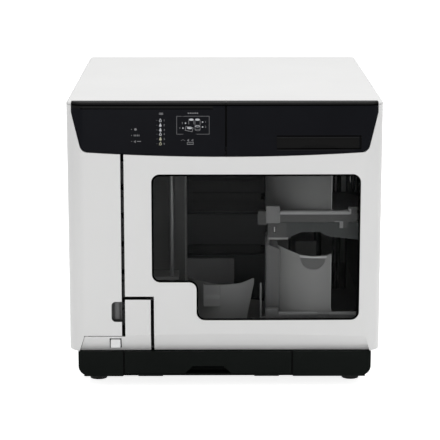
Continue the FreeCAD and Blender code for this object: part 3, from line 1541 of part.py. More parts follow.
def make_rear():
    side = half_width - s.shell_wall - 0.3
    y0 = rear - s.shell_wall
    y1 = rear - 0.5
    high = s.case_height - s.shell_wall
    wall = s.duct_wall
    opening = box(s.duct_left + wall, s.duct_right - wall, y0 - 1, rear + 1, s.duct_low + wall,
                  s.duct_high - wall)
    bars = [
        box(s.duct_left + wall, s.duct_right - wall, y0, y1, z, z + 2)
        for z in range(200, 285, 9)
    ]
    inlet_hole = box(s.inlet_x - 14, s.inlet_x + 14, y0 - 1, rear + 1, s.inlet_z - 10, s.inlet_z + 10)
    port_hole = box(s.port_x - 7, s.port_x + 7, y0 - 1, rear + 1, s.port_z - 6.5, s.port_z + 6.5)
    lock_slot = box(-10, -3, y0 - 1, rear + 1, 60, 63.5)
    plate = cut(box(-side, side, y0, y1, s.case_low, high), opening, inlet_hole, port_hole, lock_slot)
    part("rear_panel", fuse(plate, *bars))
    out = rear + s.duct_depth
    hood = cut(
        box(s.duct_left, s.duct_right, y1, out, s.duct_low, s.duct_high),
        box(s.duct_left + wall, s.duct_right - wall, y1 - 1, out - wall, s.duct_low - 1, s.duct_high - wall),
    )
    part("exhaust_duct", hood)
    fan_x = (s.duct_left + s.duct_right) / 2
    fan_z = (s.duct_low + s.duct_high) / 2
    half = s.fan_size / 2
    fan_front = y0 - s.fan_thick
    frame = cut(
        box(fan_x - half, fan_x + half, fan_front, y0, fan_z - half, fan_z + half),
        cylinder(fan_x, fan_front - 1, fan_z, s.fan_thick + 2, half - 2, "y"),
    )
    spokes = [
        box(fan_x - half + 1, fan_x + half - 1, fan_front, fan_front + 3, fan_z - 2, fan_z + 2),
        box(fan_x - 2, fan_x + 2, fan_front, fan_front + 3, fan_z - half + 1, fan_z + half - 1),
        cylinder(fan_x, fan_front, fan_z, 3, s.fan_hub_radius, "y"),
        cylinder(fan_x, fan_front, fan_z, 16, 2, "y"),
    ]
    part("fan_frame", fuse(frame, *spokes))
    hub = cut(
        cylinder(fan_x, fan_front + 3.6, fan_z, s.fan_thick - 6, s.fan_hub_radius, "y"),
        cylinder(fan_x, fan_front + 3, fan_z, 16, 2.05, "y"),
    )
    blades = []
    for index in range(sizes["fan_blades"]):
        blade = box(s.fan_hub_radius - 2, half - 4, -1, 1, -8, 8, "fan_blade")
        pitch = FreeCAD.Rotation(Vector(1, 0, 0), 35)
        around = FreeCAD.Rotation(Vector(0, 0, 1), 360 / sizes["fan_blades"] * index)
        blades.append(blade_at(blade, around, pitch))
    ring = fuse(*blades)
    ring.Placement = FreeCAD.Placement(Vector(), turns["y"])
    place(ring, fan_x, fan_front + 3.6 + (s.fan_thick - 6) / 2, fan_z)
    part("fan_rotor", cut(fuse(hub, ring), cylinder(fan_x, fan_front + 3, fan_z, 16, 2.05, "y")))
    inlet = cut(
        box(s.inlet_x - 13.6, s.inlet_x + 13.6, rear - 22, rear - 0.5, s.inlet_z - 9.6, s.inlet_z + 9.6),
        box(s.inlet_x - 11, s.inlet_x + 11, rear - 14, rear, s.inlet_z - 7, s.inlet_z + 7),
    )
    pins = [
        box(s.inlet_x + x, s.inlet_x + x + 2, rear - 15, rear - 4, s.inlet_z + z, s.inlet_z + z + 4)
        for x, z in ((-8, -5), (-1, 0.5), (6, -5))
    ]
    port = cut(
        box(s.port_x - 6.6, s.port_x + 6.6, rear - 18, rear - 0.5, s.port_z - 6.1, s.port_z + 6.1),
        box(s.port_x - 4.5, s.port_x + 4.5, rear - 10, rear, s.port_z - 4.2, s.port_z + 4.2),
        )
    tongue = box(s.port_x - 3, s.port_x + 3, rear - 11, rear - 3, s.port_z - 1.5, s.port_z + 1.5)
    part("rear_sockets", group(fuse(inlet, *pins), fuse(port, tongue)))


make_outer_case()
make_hinge_pins()
make_disc_cover()
make_window()
make_ink_cover()
make_corner_block()
make_power_button()
make_front_panel()
make_base()
make_feet()
make_deck()
make_frames()
make_drawer()
make_stacker("stacker_1", high_floor)
make_stacker("stacker_2", low_floor)
make_stack_supports()
make_small_stacker()
make_drives()
make_drive_cage()
make_printer()
make_column()
make_arm()
make_left_bay()
make_rear()


def finish():
    """Checks every object, then writes each sub-part to its own file."""
    doc.recompute()
    for item in doc.Objects:
        if "Invalid" in item.State or "Error" in item.State:
            raise RuntimeError(f"{item.Name} ({item.Label}) failed: {item.State}")
    os.makedirs("parts", exist_ok=True)
    for name, item in nodes.items():
        shape = item.Shape
        if shape.isNull() or not shape.isValid() or not shape.Solids:
            raise RuntimeError(f"{name} has no valid solid")
        shape.exportStep(f"parts/{name}.step")
        print(name, len(shape.Solids), round(shape.Volume / 1000, 1))


finish()
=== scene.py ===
import bmesh
import bpy
import math
from mathutils import Matrix, Vector
from mathutils.bvhtree import BVHTree


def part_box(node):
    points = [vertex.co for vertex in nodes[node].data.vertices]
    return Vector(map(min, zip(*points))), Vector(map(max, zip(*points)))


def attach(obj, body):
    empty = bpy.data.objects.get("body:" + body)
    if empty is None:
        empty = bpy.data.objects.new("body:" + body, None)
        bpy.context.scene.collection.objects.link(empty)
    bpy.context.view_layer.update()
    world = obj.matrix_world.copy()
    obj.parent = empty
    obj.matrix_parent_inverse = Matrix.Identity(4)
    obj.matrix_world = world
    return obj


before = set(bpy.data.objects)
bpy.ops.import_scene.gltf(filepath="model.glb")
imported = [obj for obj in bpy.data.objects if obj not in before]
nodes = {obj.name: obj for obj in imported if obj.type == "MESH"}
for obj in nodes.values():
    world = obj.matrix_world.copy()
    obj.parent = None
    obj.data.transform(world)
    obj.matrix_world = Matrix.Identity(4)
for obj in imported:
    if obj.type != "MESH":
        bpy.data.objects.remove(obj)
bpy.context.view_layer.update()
mm = 0.001
print("frame loaded:", len(nodes), "nodes")


def boxOf(name):  # lowest and highest corner of a node, in millimetres
    low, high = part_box(name)
    return [round(side / mm, 3) for side in low], [round(side / mm, 3) for side in high]


# node groups shared by the finishes
def newGroup(name, inputs, outputs):
    group = bpy.data.node_groups.new(name, "ShaderNodeTree")
    for label, start in inputs.items():
        socket = group.interface.new_socket(name=label, in_out="INPUT", socket_type="NodeSocketFloat")
        socket.default_value = start
    for label in outputs:
        group.interface.new_socket(name=label, in_out="OUTPUT", socket_type="NodeSocketFloat")
    entry = group.nodes.new("NodeGroupInput")
    leave = group.nodes.new("NodeGroupOutput")
    return group, entry.outputs, leave.inputs


def addNode(tree, kind, **values):
    node = tree.nodes.new(kind)
    for key, value in values.items():
        if hasattr(node, key):
            setattr(node, key, value)
        else:
            node.inputs[key.replace("_", " ")].default_value = value
    return node


def mathNode(tree, operation, first, second=0.0):
    node = addNode(tree, "ShaderNodeMath", operation=operation)
    for slot, value in enumerate((first, second)):
        if isinstance(value, (int, float)):
            node.inputs[slot].default_value = value
        else:
            tree.links.new(value, node.inputs[slot])
    return node.outputs[0]


def product(tree, first, *others):
    for other in others:
        first = mathNode(tree, "MULTIPLY", first, other)
    return first


def splitAxes(tree, vector):
    split = addNode(tree, "ShaderNodeSeparateXYZ")
    tree.links.new(vector, split.inputs["Vector"])
    return split.outputs


def objectPlace(tree):
    return addNode(tree, "ShaderNodeTexCoord").outputs["Object"]


grainLook = {"grain": 2600.0, "cloud": 9.0, "pitScale": 0.6, "pitDepth": 0.7, "smudgeScale": 3.4}


def makeMouldGrain(look):  # fine spark-eroded texture of moulded plastic, with slow clouds in tone
    group, entry, leave = newGroup("mouldGrain", {"Grain": look["grain"], "Cloud": look["cloud"]},
                                   ("Height", "Tone", "Smudge"))
    fine = addNode(group, "ShaderNodeTexNoise", Detail=3.0, Roughness=0.6)
    pits = addNode(group, "ShaderNodeTexVoronoi", feature="SMOOTH_F1")
    cloud = addNode(group, "ShaderNodeTexNoise", Detail=4.0, Roughness=0.5)
    smudge = addNode(group, "ShaderNodeTexNoise", Detail=5.0, Roughness=0.65, Distortion=0.6)
    place = objectPlace(group)
    for texture in (fine, pits, cloud, smudge):
        group.links.new(place, texture.inputs["Vector"])
    group.links.new(entry["Grain"], fine.inputs["Scale"])
    group.links.new(product(group, entry["Grain"], look["pitScale"]), pits.inputs["Scale"])
    group.links.new(entry["Cloud"], cloud.inputs["Scale"])
    group.links.new(product(group, entry["Cloud"], look["smudgeScale"]), smudge.inputs["Scale"])
    dents = product(group, pits.outputs["Distance"], look["pitDepth"])
    group.links.new(mathNode(group, "ADD", fine.outputs["Fac"], dents), leave["Height"])
    group.links.new(cloud.outputs["Fac"], leave["Tone"])
    group.links.new(smudge.outputs["Fac"], leave["Smudge"])
    return group


rollingLook = {"streak": 40.0, "spangle": 60.0, "stretch": (1.0, 1.0, 34.0)}


def makeRolledMetal(look):  # streaks along one way, as rolling or turning leaves them
    group, entry, leave = newGroup("rolledMetal", {"Streak": look["streak"], "Spangle": look["spangle"]},
                                   ("Height", "Tone", "Flake"))
    place = objectPlace(group)
    stretch = addNode(group, "ShaderNodeMapping", Scale=look["stretch"])
    streaks = addNode(group, "ShaderNodeTexNoise", Detail=4.0, Roughness=0.6)
    flakes = addNode(group, "ShaderNodeTexVoronoi")
    split = addNode(group, "ShaderNodeSeparateColor")
    group.links.new(place, stretch.inputs["Vector"])
    group.links.new(stretch.outputs["Vector"], streaks.inputs["Vector"])
    group.links.new(place, flakes.inputs["Vector"])
    group.links.new(entry["Streak"], streaks.inputs["Scale"])
    group.links.new(entry["Spangle"], flakes.inputs["Scale"])
    group.links.new(flakes.outputs["Color"], split.inputs["Color"])
    group.links.new(streaks.outputs["Fac"], leave["Height"])
    group.links.new(streaks.outputs["Fac"], leave["Tone"])
    group.links.new(split.outputs["Red"], leave["Flake"])
    return group


dustFall = {"amount": 0.2, "sharpness": 3.0}


def makeSettledDust(look):  # a trace of dust on what faces up
    group, entry, leave = newGroup("settledDust", {"Amount": look["amount"]}, ("Mask",))
    facing = splitAxes(group, addNode(group, "ShaderNodeNewGeometry").outputs["Normal"])
    specks = addNode(group, "ShaderNodeTexNoise", Scale=55.0, Detail=6.0, Roughness=0.7)
    group.links.new(objectPlace(group), specks.inputs["Vector"])
    up = mathNode(group, "POWER", mathNode(group, "MAXIMUM", facing["Z"], 0.0), look["sharpness"])
    group.links.new(product(group, up, specks.outputs["Fac"], entry["Amount"]), leave["Mask"])
    return group


coverRim = {"start": 0.0004, "reach": 0.165, "sideways": 0.6}


def makeRimShadeMask(look):  # masks the turned-in rims of a front cover, from a little behind its bowed face, to paint them dark as the shade in the seams round the cover
    group, entry, leave = newGroup("rimShadeMask", {"Face": 0.0, "Bow": 0.0}, ("Mask",))
    place = splitAxes(group, objectPlace(group))
    facing = splitAxes(group, addNode(group, "ShaderNodeTexCoord").outputs["Normal"])
    bow = product(group, place["X"], place["X"], entry["Bow"])
    depth = mathNode(group, "SUBTRACT", place["Y"], mathNode(group, "ADD", entry["Face"], bow))
    behind = mathNode(group, "GREATER_THAN", depth, look["start"])
    sideways = mathNode(group, "LESS_THAN", mathNode(group, "ABSOLUTE", facing["Y"]), look["sideways"])
    inner = mathNode(group, "LESS_THAN", mathNode(group, "ABSOLUTE", place["X"]), look["reach"])
    group.links.new(product(group, behind, sideways, inner), leave["Mask"])
    return group


def makeBlockMask():  # masks one upright block of space
    sides = (("X", "Left", "Right"), ("Y", "Front", "Back"), ("Z", "Low", "High"))
    inputs = {label: 0.0 for side in sides for label in side[1:]}
    group, entry, leave = newGroup("blockMask", inputs, ("Mask",))
    place = splitAxes(group, objectPlace(group))
    tests = []
    for axis, low, high in sides:
        tests.append(mathNode(group, "GREATER_THAN", place[axis], entry[low]))
        tests.append(mathNode(group, "LESS_THAN", place[axis], entry[high]))
    group.links.new(product(group, *tests), leave["Mask"])
    return group


def makeRoundMask():  # masks a dish pressed into a front wall, cut off straight at its top, for its painted shade
    group, entry, leave = newGroup(
        "roundMask", {"Middle": 0.0, "Level": 0.0, "Radius": 0.01, "Top": 1.0, "Back": 0.0}, ("Mask",))
    place = splitAxes(group, objectPlace(group))
    across = mathNode(group, "SUBTRACT", place["X"], entry["Middle"])
    rise = mathNode(group, "SUBTRACT", place["Z"], entry["Level"])
    square = mathNode(group, "ADD", product(group, across, across), product(group, rise, rise))
    near = mathNode(group, "LESS_THAN", mathNode(group, "SQRT", square), entry["Radius"])
    under = mathNode(group, "LESS_THAN", place["Z"], entry["Top"])
    ahead = mathNode(group, "LESS_THAN", place["Y"], entry["Back"])
    group.links.new(product(group, near, under, ahead), leave["Mask"])
    return group


mouldGrain = makeMouldGrain(grainLook)
rolledMetal = makeRolledMetal(rollingLook)
settledDust = makeSettledDust(dustFall)
rimShadeMask = makeRimShadeMask(coverRim)
blockMask = makeBlockMask()
roundMask = makeRoundMask()


def startMaterial(name):
    material = bpy.data.materials.new(name)
    material.use_nodes = True
    tree = material.node_tree
    return material, tree, tree.nodes["Principled BSDF"]


def useGroup(tree, group, **values):
    return addNode(tree, "ShaderNodeGroup", node_tree=group, **values).outputs


def blendColours(tree, mask, first, second, low, high):
    ramp = addNode(tree, "ShaderNodeValToRGB")
    for stop, position, colour in zip(ramp.color_ramp.elements, (low, high), (first, second)):
        stop.position = position
        stop.color = (*colour, 1)
    tree.links.new(mask, ramp.inputs["Fac"])
    return ramp.outputs["Color"]


def mixColours(tree, mask, first, second):
    mix = addNode(tree, "ShaderNodeMix", data_type="RGBA")
    factor, before, after = mix.inputs[0], mix.inputs[6], mix.inputs[7]  # the sockets for colours
    tree.links.new(mask, factor)
    tree.links.new(first, before)
    after.default_value = (*second, 1)
    return mix.outputs[2]


def spread(tree, mask, low, high):
    remap = addNode(tree, "ShaderNodeMapRange", To_Min=low, To_Max=high)
    tree.links.new(mask, remap.inputs["Value"])
    return remap.outputs["Result"]


def addBump(tree, shader, height, strength, distance):
    bump = addNode(tree, "ShaderNodeBump", Strength=strength, Distance=distance)
    tree.links.new(height, bump.inputs["Height"])
    tree.links.new(bump.outputs["Normal"], shader.inputs["Normal"])


def shade(colour, share):
    return tuple(min(1.0, part * share) for part in colour)


plasticLook = {"ramp": (0.3, 0.7), "dust": (0.42, 0.41, 0.39), "dish": 0.52, "smooth": 0.05, "dull": 0.06,
               "coatRough": 0.12, "depth": 0.00008}


def mouldedPlastic(name, colour, rough, grain=2600.0, bump=0.12, spreadTone=0.04, dust=0.0, coat=0.0,
                   specular=0.5, metal=0.0, cloud=9.0, patches=(), rimShade=None, dish=None):
    material, tree, shader = startMaterial(name)
    look = useGroup(tree, mouldGrain, Grain=grain, Cloud=cloud)
    tone = blendColours(tree, look["Tone"], shade(colour, 1 - spreadTone), shade(colour, 1 + spreadTone),
                        *plasticLook["ramp"])
    if dust:
        tone = mixColours(tree, useGroup(tree, settledDust, Amount=dust)["Mask"], tone, plasticLook["dust"])
    # painted shade on the cover's turned-in rims, so its seams read dark
    if rimShade:
        rim = useGroup(tree, rimShadeMask, Face=rimShade["face"], Bow=rimShade["bow"])
        tone = mixColours(tree, rim["Mask"], tone, rimShade["colour"])
    # painted shade in the finger dish, which faces down
    if dish:
        tone = mixColours(tree, useGroup(tree, roundMask, **dish)["Mask"], tone,
                          shade(colour, plasticLook["dish"]))
    for patch in patches:
        tone = mixColours(tree, useGroup(tree, blockMask, **patch["block"])["Mask"], tone, patch["colour"])
    gloss = spread(tree, look["Smudge"], rough - plasticLook["smooth"], rough + plasticLook["dull"])
    tree.links.new(tone, shader.inputs["Base Color"])
    tree.links.new(gloss, shader.inputs["Roughness"])
    shader.inputs["Metallic"].default_value = metal
    shader.inputs["Coat Weight"].default_value = coat
    shader.inputs["Coat Roughness"].default_value = plasticLook["coatRough"]
    shader.inputs["Specular IOR Level"].default_value = specular
    addBump(tree, shader, look["Height"], bump, plasticLook["depth"])
    return material


metalLook = {"ramp": (0.3, 0.7), "dark": 0.9, "bright": 1.06, "flake": 0.72, "smooth": 0.06, "dull": 0.08,
             "bump": 0.08, "depth": 0.00006}


def plainMetal(name, colour, rough, streak=40.0, spangle=60.0, flake=0.0):
    material, tree, shader = startMaterial(name)
    look = useGroup(tree, rolledMetal, Streak=streak, Spangle=spangle)
    tone = blendColours(tree, look["Tone"], shade(colour, metalLook["dark"]),
                        shade(colour, metalLook["bright"]), *metalLook["ramp"])
    if flake:
        tone = mixColours(tree, product(tree, look["Flake"], flake), tone, shade(colour, metalLook["flake"]))
    gloss = spread(tree, look["Tone"], rough - metalLook["smooth"], rough + metalLook["dull"])
    tree.links.new(tone, shader.inputs["Base Color"])
    tree.links.new(gloss, shader.inputs["Roughness"])
    shader.inputs["Metallic"].default_value = 1.0
    addBump(tree, shader, look["Height"], metalLook["bump"], metalLook["depth"])
    return material


def blocksOf(patches, front=-260, back=260):  # blocks of space in other tones, from spans in millimetres
    blocks = []
    for patch in patches.values():
        sides = {"Left": patch["x"][0], "Right": patch["x"][1], "Low": patch["z"][0], "High": patch["z"][1],
                 "Front": patch.get("front", front), "Back": patch.get("back", back)}
        blocks.append({"block": {label: side * mm for label, side in sides.items()},
                       "colour": (patch["tone"],) * 3})
    return blocks


# painted light on the black panel: painted highlights on the ledge and top strip, painted shade in the
# groove, under the ledge and in the seam
panelPatches = {
    "ledgeHighlight": {"x": (-190, -14), "z": (341.5, 344.4), "tone": 0.0125},
    "grooveShade": {"x": (-190, 0.9), "z": (344.4, 345.9), "tone": 0.0004},
    "topStripLit": {"x": (-190, 0.9), "z": (345.9, 349), "tone": 0.009},
    "ledgeShadow": {"x": (-170.5, -14), "z": (340.3, 341.6), "tone": 0.0004},
    "seamShade": {"x": (0.3, 2.0), "z": (284, 345), "tone": 0.0003},
}
# painted light on the right fascia: painted shade in the groove, the seam, above and below the pocket and at
# its end; painted highlights on the top strip and the pocket's edges; the pocket's face painted lighter as
# lit
fasciaPatches = {
    "grooveShade": {"x": (1.5, 190), "z": (344.4, 345.9), "tone": 0.0004},
    "topStripLit": {"x": (1.5, 190), "z": (345.9, 349), "tone": 0.009},
    "seamShade": {"x": (1.0, 2.4), "z": (284, 345), "tone": 0.0003},
    "pocketLit": {"x": (61.5, 159.0), "z": (293.6, 305.9), "tone": 0.0098},
    "pocketShadow": {"x": (61.5, 161.6), "z": (307.4, 309.2), "tone": 0.0007},
    "pocketHighlight": {"x": (61.5, 159.0), "z": (305.9, 306.7), "tone": 0.02},
    "sillShade": {"x": (61.5, 161.6), "z": (292.4, 293.6), "tone": 0.001},
    "sillHighlight": {"x": (61.5, 154.0), "z": (291.3, 292.0), "tone": 0.018},
    "pocketEndShade": {"x": (159.6, 162.0), "z": (293.6, 307.4), "tone": 0.004},
}
# painted shade in the seams beside the drawer
drawerPatches = {
    "leftSeamShade": {"x": (-123.4, -121.4), "back": -200, "z": (10, 44.2), "tone": 0.0007},
    "rightSeamShade": {"x": (81.0, 83.0), "back": -200, "z": (10, 44.2), "tone": 0.0007},
}
coverPatches = {
    "gripRecess": {"x": (-137.0, -123.8), "front": -243.8, "back": -230, "z": (81.0, 106.8), "tone": 0.028},
}
# painted light on the shelf: its end block painted lighter as lit, and a painted highlight along its bead
shelfPatches = {
    "endBlockLit": {"x": (50, 66.9), "back": -208, "z": (196, 219), "tone": 0.34},
    "tab": {"x": (132.8, 143), "back": -215, "z": (192, 201), "tone": 0.45},
    "beadHighlight": {"x": (66.9, 152.6), "back": -214, "z": (209.4, 216), "tone": 0.58},
}
# a painted highlight along the plate's bead, and painted shade inside at its right end
platePatches = {
    "beadHighlight": {"x": (66, 160), "back": -214, "z": (84.8, 90), "tone": 0.5},
    "inside": {"x": (140, 170), "front": -214, "back": 0, "z": (76, 146), "tone": 0.03},
}
framePatches = {
    "post": {"x": (50, 57), "back": -170, "z": (80, 177), "tone": 0.22},
    "slitPlate": {"x": (52, 75), "back": -170, "z": (177, 197), "tone": 0.13},
    # painted highlight on the sill under the slit
    "slitSillHighlight": {"x": (52, 78), "back": -214, "z": (176.5, 179.5), "tone": 0.5},
}
# painted highlight on the ledge of the drawer cup's tab
lowCupPatches = {"tabLedgeHighlight": {"x": (-27.2, -5.4), "back": -140, "z": (82.9, 88.9), "tone": 0.98}}
pillarPatches = {"litEdge": {"x": (-51.2, -48), "z": (47, 333), "tone": 0.9}}
# painted light on the lower cup's wing, and painted shade on its floor at the right
innerPatches = {
    "wingLit": {"x": (48, 63.5), "back": -130, "z": (82, 170), "tone": 0.6},
    "floor": {"x": (132.2, 179), "front": -206, "back": -88, "z": (81.5, 90), "tone": 0.035},
}
upperFoot, lowerFoot = boxOf("stacker_1")[0][2], boxOf("stacker_2")[0][2]


def cupHighlights(foot):  # painted highlights on the lip and the right edge of a cup that stands at this height
    return {"lipHighlight": {"x": (91.6, 123.9), "back": -190, "z": (foot + 72.0, foot + 75.2), "tone": 0.85},
            "edge": {"x": (128.9, 132), "back": -205, "z": (foot, foot + 80), "tone": 0.8}}


def dishAt(foot):  # painted shade of the finger dish under that lip
    return {"Middle": 107.4 * mm, "Level": (foot + 72.6) * mm, "Radius": 15.3 * mm, "Top": (foot + 71.9) * mm,
            "Back": -150 * mm}


# white and black outside
caseLook = {"colour": (0.8, 0.8, 0.795), "rough": 0.42, "bump": 0.1, "spreadTone": 0.012}
panelLook = {"colour": (0.0072, 0.0076, 0.0098), "rough": 0.24, "bump": 0.02, "spreadTone": 0.1,
             "specular": 0.022, "cloud": 14.0}
coverRimShade = {"face": -0.2465, "bow": 0.0505, "colour": (0.004, 0.004, 0.004)}
whiteCase = mouldedPlastic("whiteCase", **caseLook)
whiteCover = mouldedPlastic("whiteCover", **caseLook, rimShade=coverRimShade)
gripCover = mouldedPlastic("gripCover", **caseLook, rimShade=coverRimShade, patches=blocksOf(coverPatches))
whiteButton = mouldedPlastic("whiteButton", (0.88, 0.88, 0.88), 0.3, bump=0.05, spreadTone=0.01)
panelBlack = mouldedPlastic("panelBlack", **panelLook, patches=blocksOf(panelPatches, back=-226))
fasciaBlack = mouldedPlastic("fasciaBlack", **panelLook, patches=blocksOf(fasciaPatches, back=-226))
blackBase = mouldedPlastic("blackBase", (0.0062, 0.0076, 0.0069), 0.5, grain=1900.0, bump=0.3,
                           spreadTone=0.12, specular=0.03, patches=blocksOf(drawerPatches))
softRubber = mouldedPlastic("softRubber", (0.012, 0.012, 0.012), 0.78, grain=1300.0, bump=0.4,
                            spreadTone=0.15, specular=0.3)

# plastics of the stackers and what carries them
cupSkin = {"rough": 0.44, "bump": 0.16, "dust": 0.06}
shelfSkin = {"rough": 0.42, "bump": 0.16, "dust": 0.05}
# the upper and lower cups are one grey plastic, painted darker for the upper and lighter for the lower, and
# the drawer cup painted lighter, for how the light falls in them
upperCupShaded = mouldedPlastic("upperCupShaded", (0.28, 0.28, 0.278), **cupSkin, dish=dishAt(upperFoot),
                          patches=blocksOf(cupHighlights(upperFoot)))
lowerCupLit = mouldedPlastic("lowerCupLit", (0.47, 0.47, 0.465), **cupSkin, dish=dishAt(lowerFoot),
                          patches=blocksOf(cupHighlights(lowerFoot) | innerPatches))
drawerCupLit = mouldedPlastic("drawerCupLit", (0.86, 0.86, 0.855), **cupSkin, patches=blocksOf(lowCupPatches))
wingGrey = mouldedPlastic("wingGrey", (0.24, 0.24, 0.239), **cupSkin)
shelfGrey = mouldedPlastic("shelfGrey", (0.135, 0.135, 0.134), **shelfSkin, patches=blocksOf(shelfPatches))
plateGrey = mouldedPlastic("plateGrey", (0.26, 0.26, 0.26), **shelfSkin, patches=blocksOf(platePatches))
frameGrey = mouldedPlastic("frameGrey", (0.082, 0.09, 0.09), **shelfSkin, patches=blocksOf(framePatches))
flagWhite = mouldedPlastic("flagWhite", (0.95, 0.95, 0.95), 0.35, bump=0.05)

# other plastics inside
driveBlack = mouldedPlastic("driveBlack", (0.0056, 0.0074, 0.0078), 0.42, bump=0.2, dust=0.05, specular=0.3)
deepBlack = mouldedPlastic("deepBlack", (0.0082, 0.01, 0.0104), 0.5, bump=0.2, specular=0.3)
stripBlack = mouldedPlastic("stripBlack", (0.013, 0.0155, 0.0162), 0.42, bump=0.2, specular=0.3)
# black rubber of the window gasket; also painted shade in the louvre slots, screw crosses and the drives'
# emergency holes
rubberBlackAndHoleShade = mouldedPlastic("rubberBlackAndHoleShade", (0.0015, 0.0015, 0.0015), 0.7, bump=0.2, specular=0.02)
coatedBlack = mouldedPlastic("coatedBlack", (0.027, 0.0315, 0.033), 0.5, bump=0.25, dust=0.04, specular=0.3)
beltRubber = mouldedPlastic("beltRubber", (0.0125, 0.013, 0.013), 0.66, grain=1500.0, bump=0.35,
                            spreadTone=0.2, specular=0.3)
darkGrey = mouldedPlastic("darkGrey", (0.032, 0.035, 0.037), 0.45, bump=0.2, dust=0.08)
wallGrey = mouldedPlastic("wallGrey", (0.062, 0.062, 0.062), 0.5, bump=0.1, dust=0.05)
gripDark = mouldedPlastic("gripDark", (0.1, 0.1, 0.102), 0.4, bump=0.1, spreadTone=0.06)
midGrey = mouldedPlastic("midGrey", (0.16, 0.162, 0.165), 0.45, bump=0.2, dust=0.08)
pillarGrey = mouldedPlastic("pillarGrey", (0.3, 0.3, 0.3), 0.42, bump=0.14, dust=0.05,
                            patches=blocksOf(pillarPatches))
fasciaGrey = mouldedPlastic("fasciaGrey", (0.5, 0.497, 0.5), 0.45, bump=0.2, dust=0.05)
bracketGrey = mouldedPlastic("bracketGrey", (0.85, 0.85, 0.85), 0.4, bump=0.14, dust=0.05)
rodSatin = mouldedPlastic("rodSatin", (0.95, 0.95, 0.95), 0.24, grain=900.0, bump=0.05, spreadTone=0.03,
                          coat=0.6, specular=0.8, metal=0.25)
inkPlastic = mouldedPlastic("inkPlastic", (0.045, 0.046, 0.05), 0.35, bump=0.1, spreadTone=0.06)

sheetSteel = plainMetal("sheetSteel", (0.5, 0.51, 0.52), 0.36, spangle=85.0, flake=0.5)
darkSteel = plainMetal("darkSteel", (0.1, 0.103, 0.106), 0.42, spangle=85.0, flake=0.3)
ductSteel = plainMetal("ductSteel", (0.5, 0.51, 0.52), 0.38, spangle=70.0, flake=0.4)
brightSteel = plainMetal("brightSteel", (0.72, 0.72, 0.73), 0.2, streak=25.0)
aluminium = plainMetal("aluminium", (0.68, 0.69, 0.7), 0.3, streak=30.0)

windowLook = {"tint": (0.5, 0.503, 0.503), "lamp": (0.86, 0.863, 0.863), "rough": 0.03, "bend": 1.08,
              "grain": 60.0, "cloud": 5.0}


def makeSmokedGlass(look):  # lets the lamps' light in through a paler tint than the eye sees
    material, tree, shader = startMaterial("smokedGlass")
    grime = useGroup(tree, mouldGrain, Grain=look["grain"], Cloud=look["cloud"])
    shader.inputs["Base Color"].default_value = (*look["tint"], 1)
    tree.links.new(spread(tree, grime["Smudge"], 0.0, look["rough"]), shader.inputs["Roughness"])
    shader.inputs["Transmission Weight"].default_value = 1.0
    shader.inputs["IOR"].default_value = look["bend"]
    lampPath = addNode(tree, "ShaderNodeLightPath")
    through = addNode(tree, "ShaderNodeBsdfTransparent", Color=(*look["lamp"], 1))
    mix = addNode(tree, "ShaderNodeMixShader")
    tree.links.new(lampPath.outputs["Is Shadow Ray"], mix.inputs[0])
    tree.links.new(shader.outputs[0], mix.inputs[1])
    tree.links.new(through.outputs[0], mix.inputs[2])
    tree.links.new(mix.outputs[0], tree.nodes["Material Output"].inputs["Surface"])
    return material


boardLook = {"lacquer": (0.004, 0.05, 0.022), "lacquer2": (0.006, 0.065, 0.03), "track": (0.03, 0.16, 0.07),
             "scale": 160.0, "trackWidth": 0.012, "rough": (0.3, 0.5), "bump": 0.3, "depth": 0.0001,
             "grain": 900.0, "cloud": 30.0}


def makeBoardLook(look):
    material, tree, shader = startMaterial("boardGreen")
    tracks = addNode(tree, "ShaderNodeTexBrick", Scale=look["scale"], Mortar_Size=look["trackWidth"],
                     Color1=(*look["lacquer"], 1), Color2=(*look["lacquer2"], 1), Mortar=(*look["track"], 1))
    tree.links.new(objectPlace(tree), tracks.inputs["Vector"])
    tree.links.new(tracks.outputs["Color"], shader.inputs["Base Color"])
    grime = useGroup(tree, mouldGrain, Grain=look["grain"], Cloud=look["cloud"])
    tree.links.new(spread(tree, grime["Smudge"], *look["rough"]), shader.inputs["Roughness"])
    addBump(tree, shader, tracks.outputs["Fac"], look["bump"], look["depth"])
    return material


smokedGlass = makeSmokedGlass(windowLook)
boardGreen = makeBoardLook(boardLook)

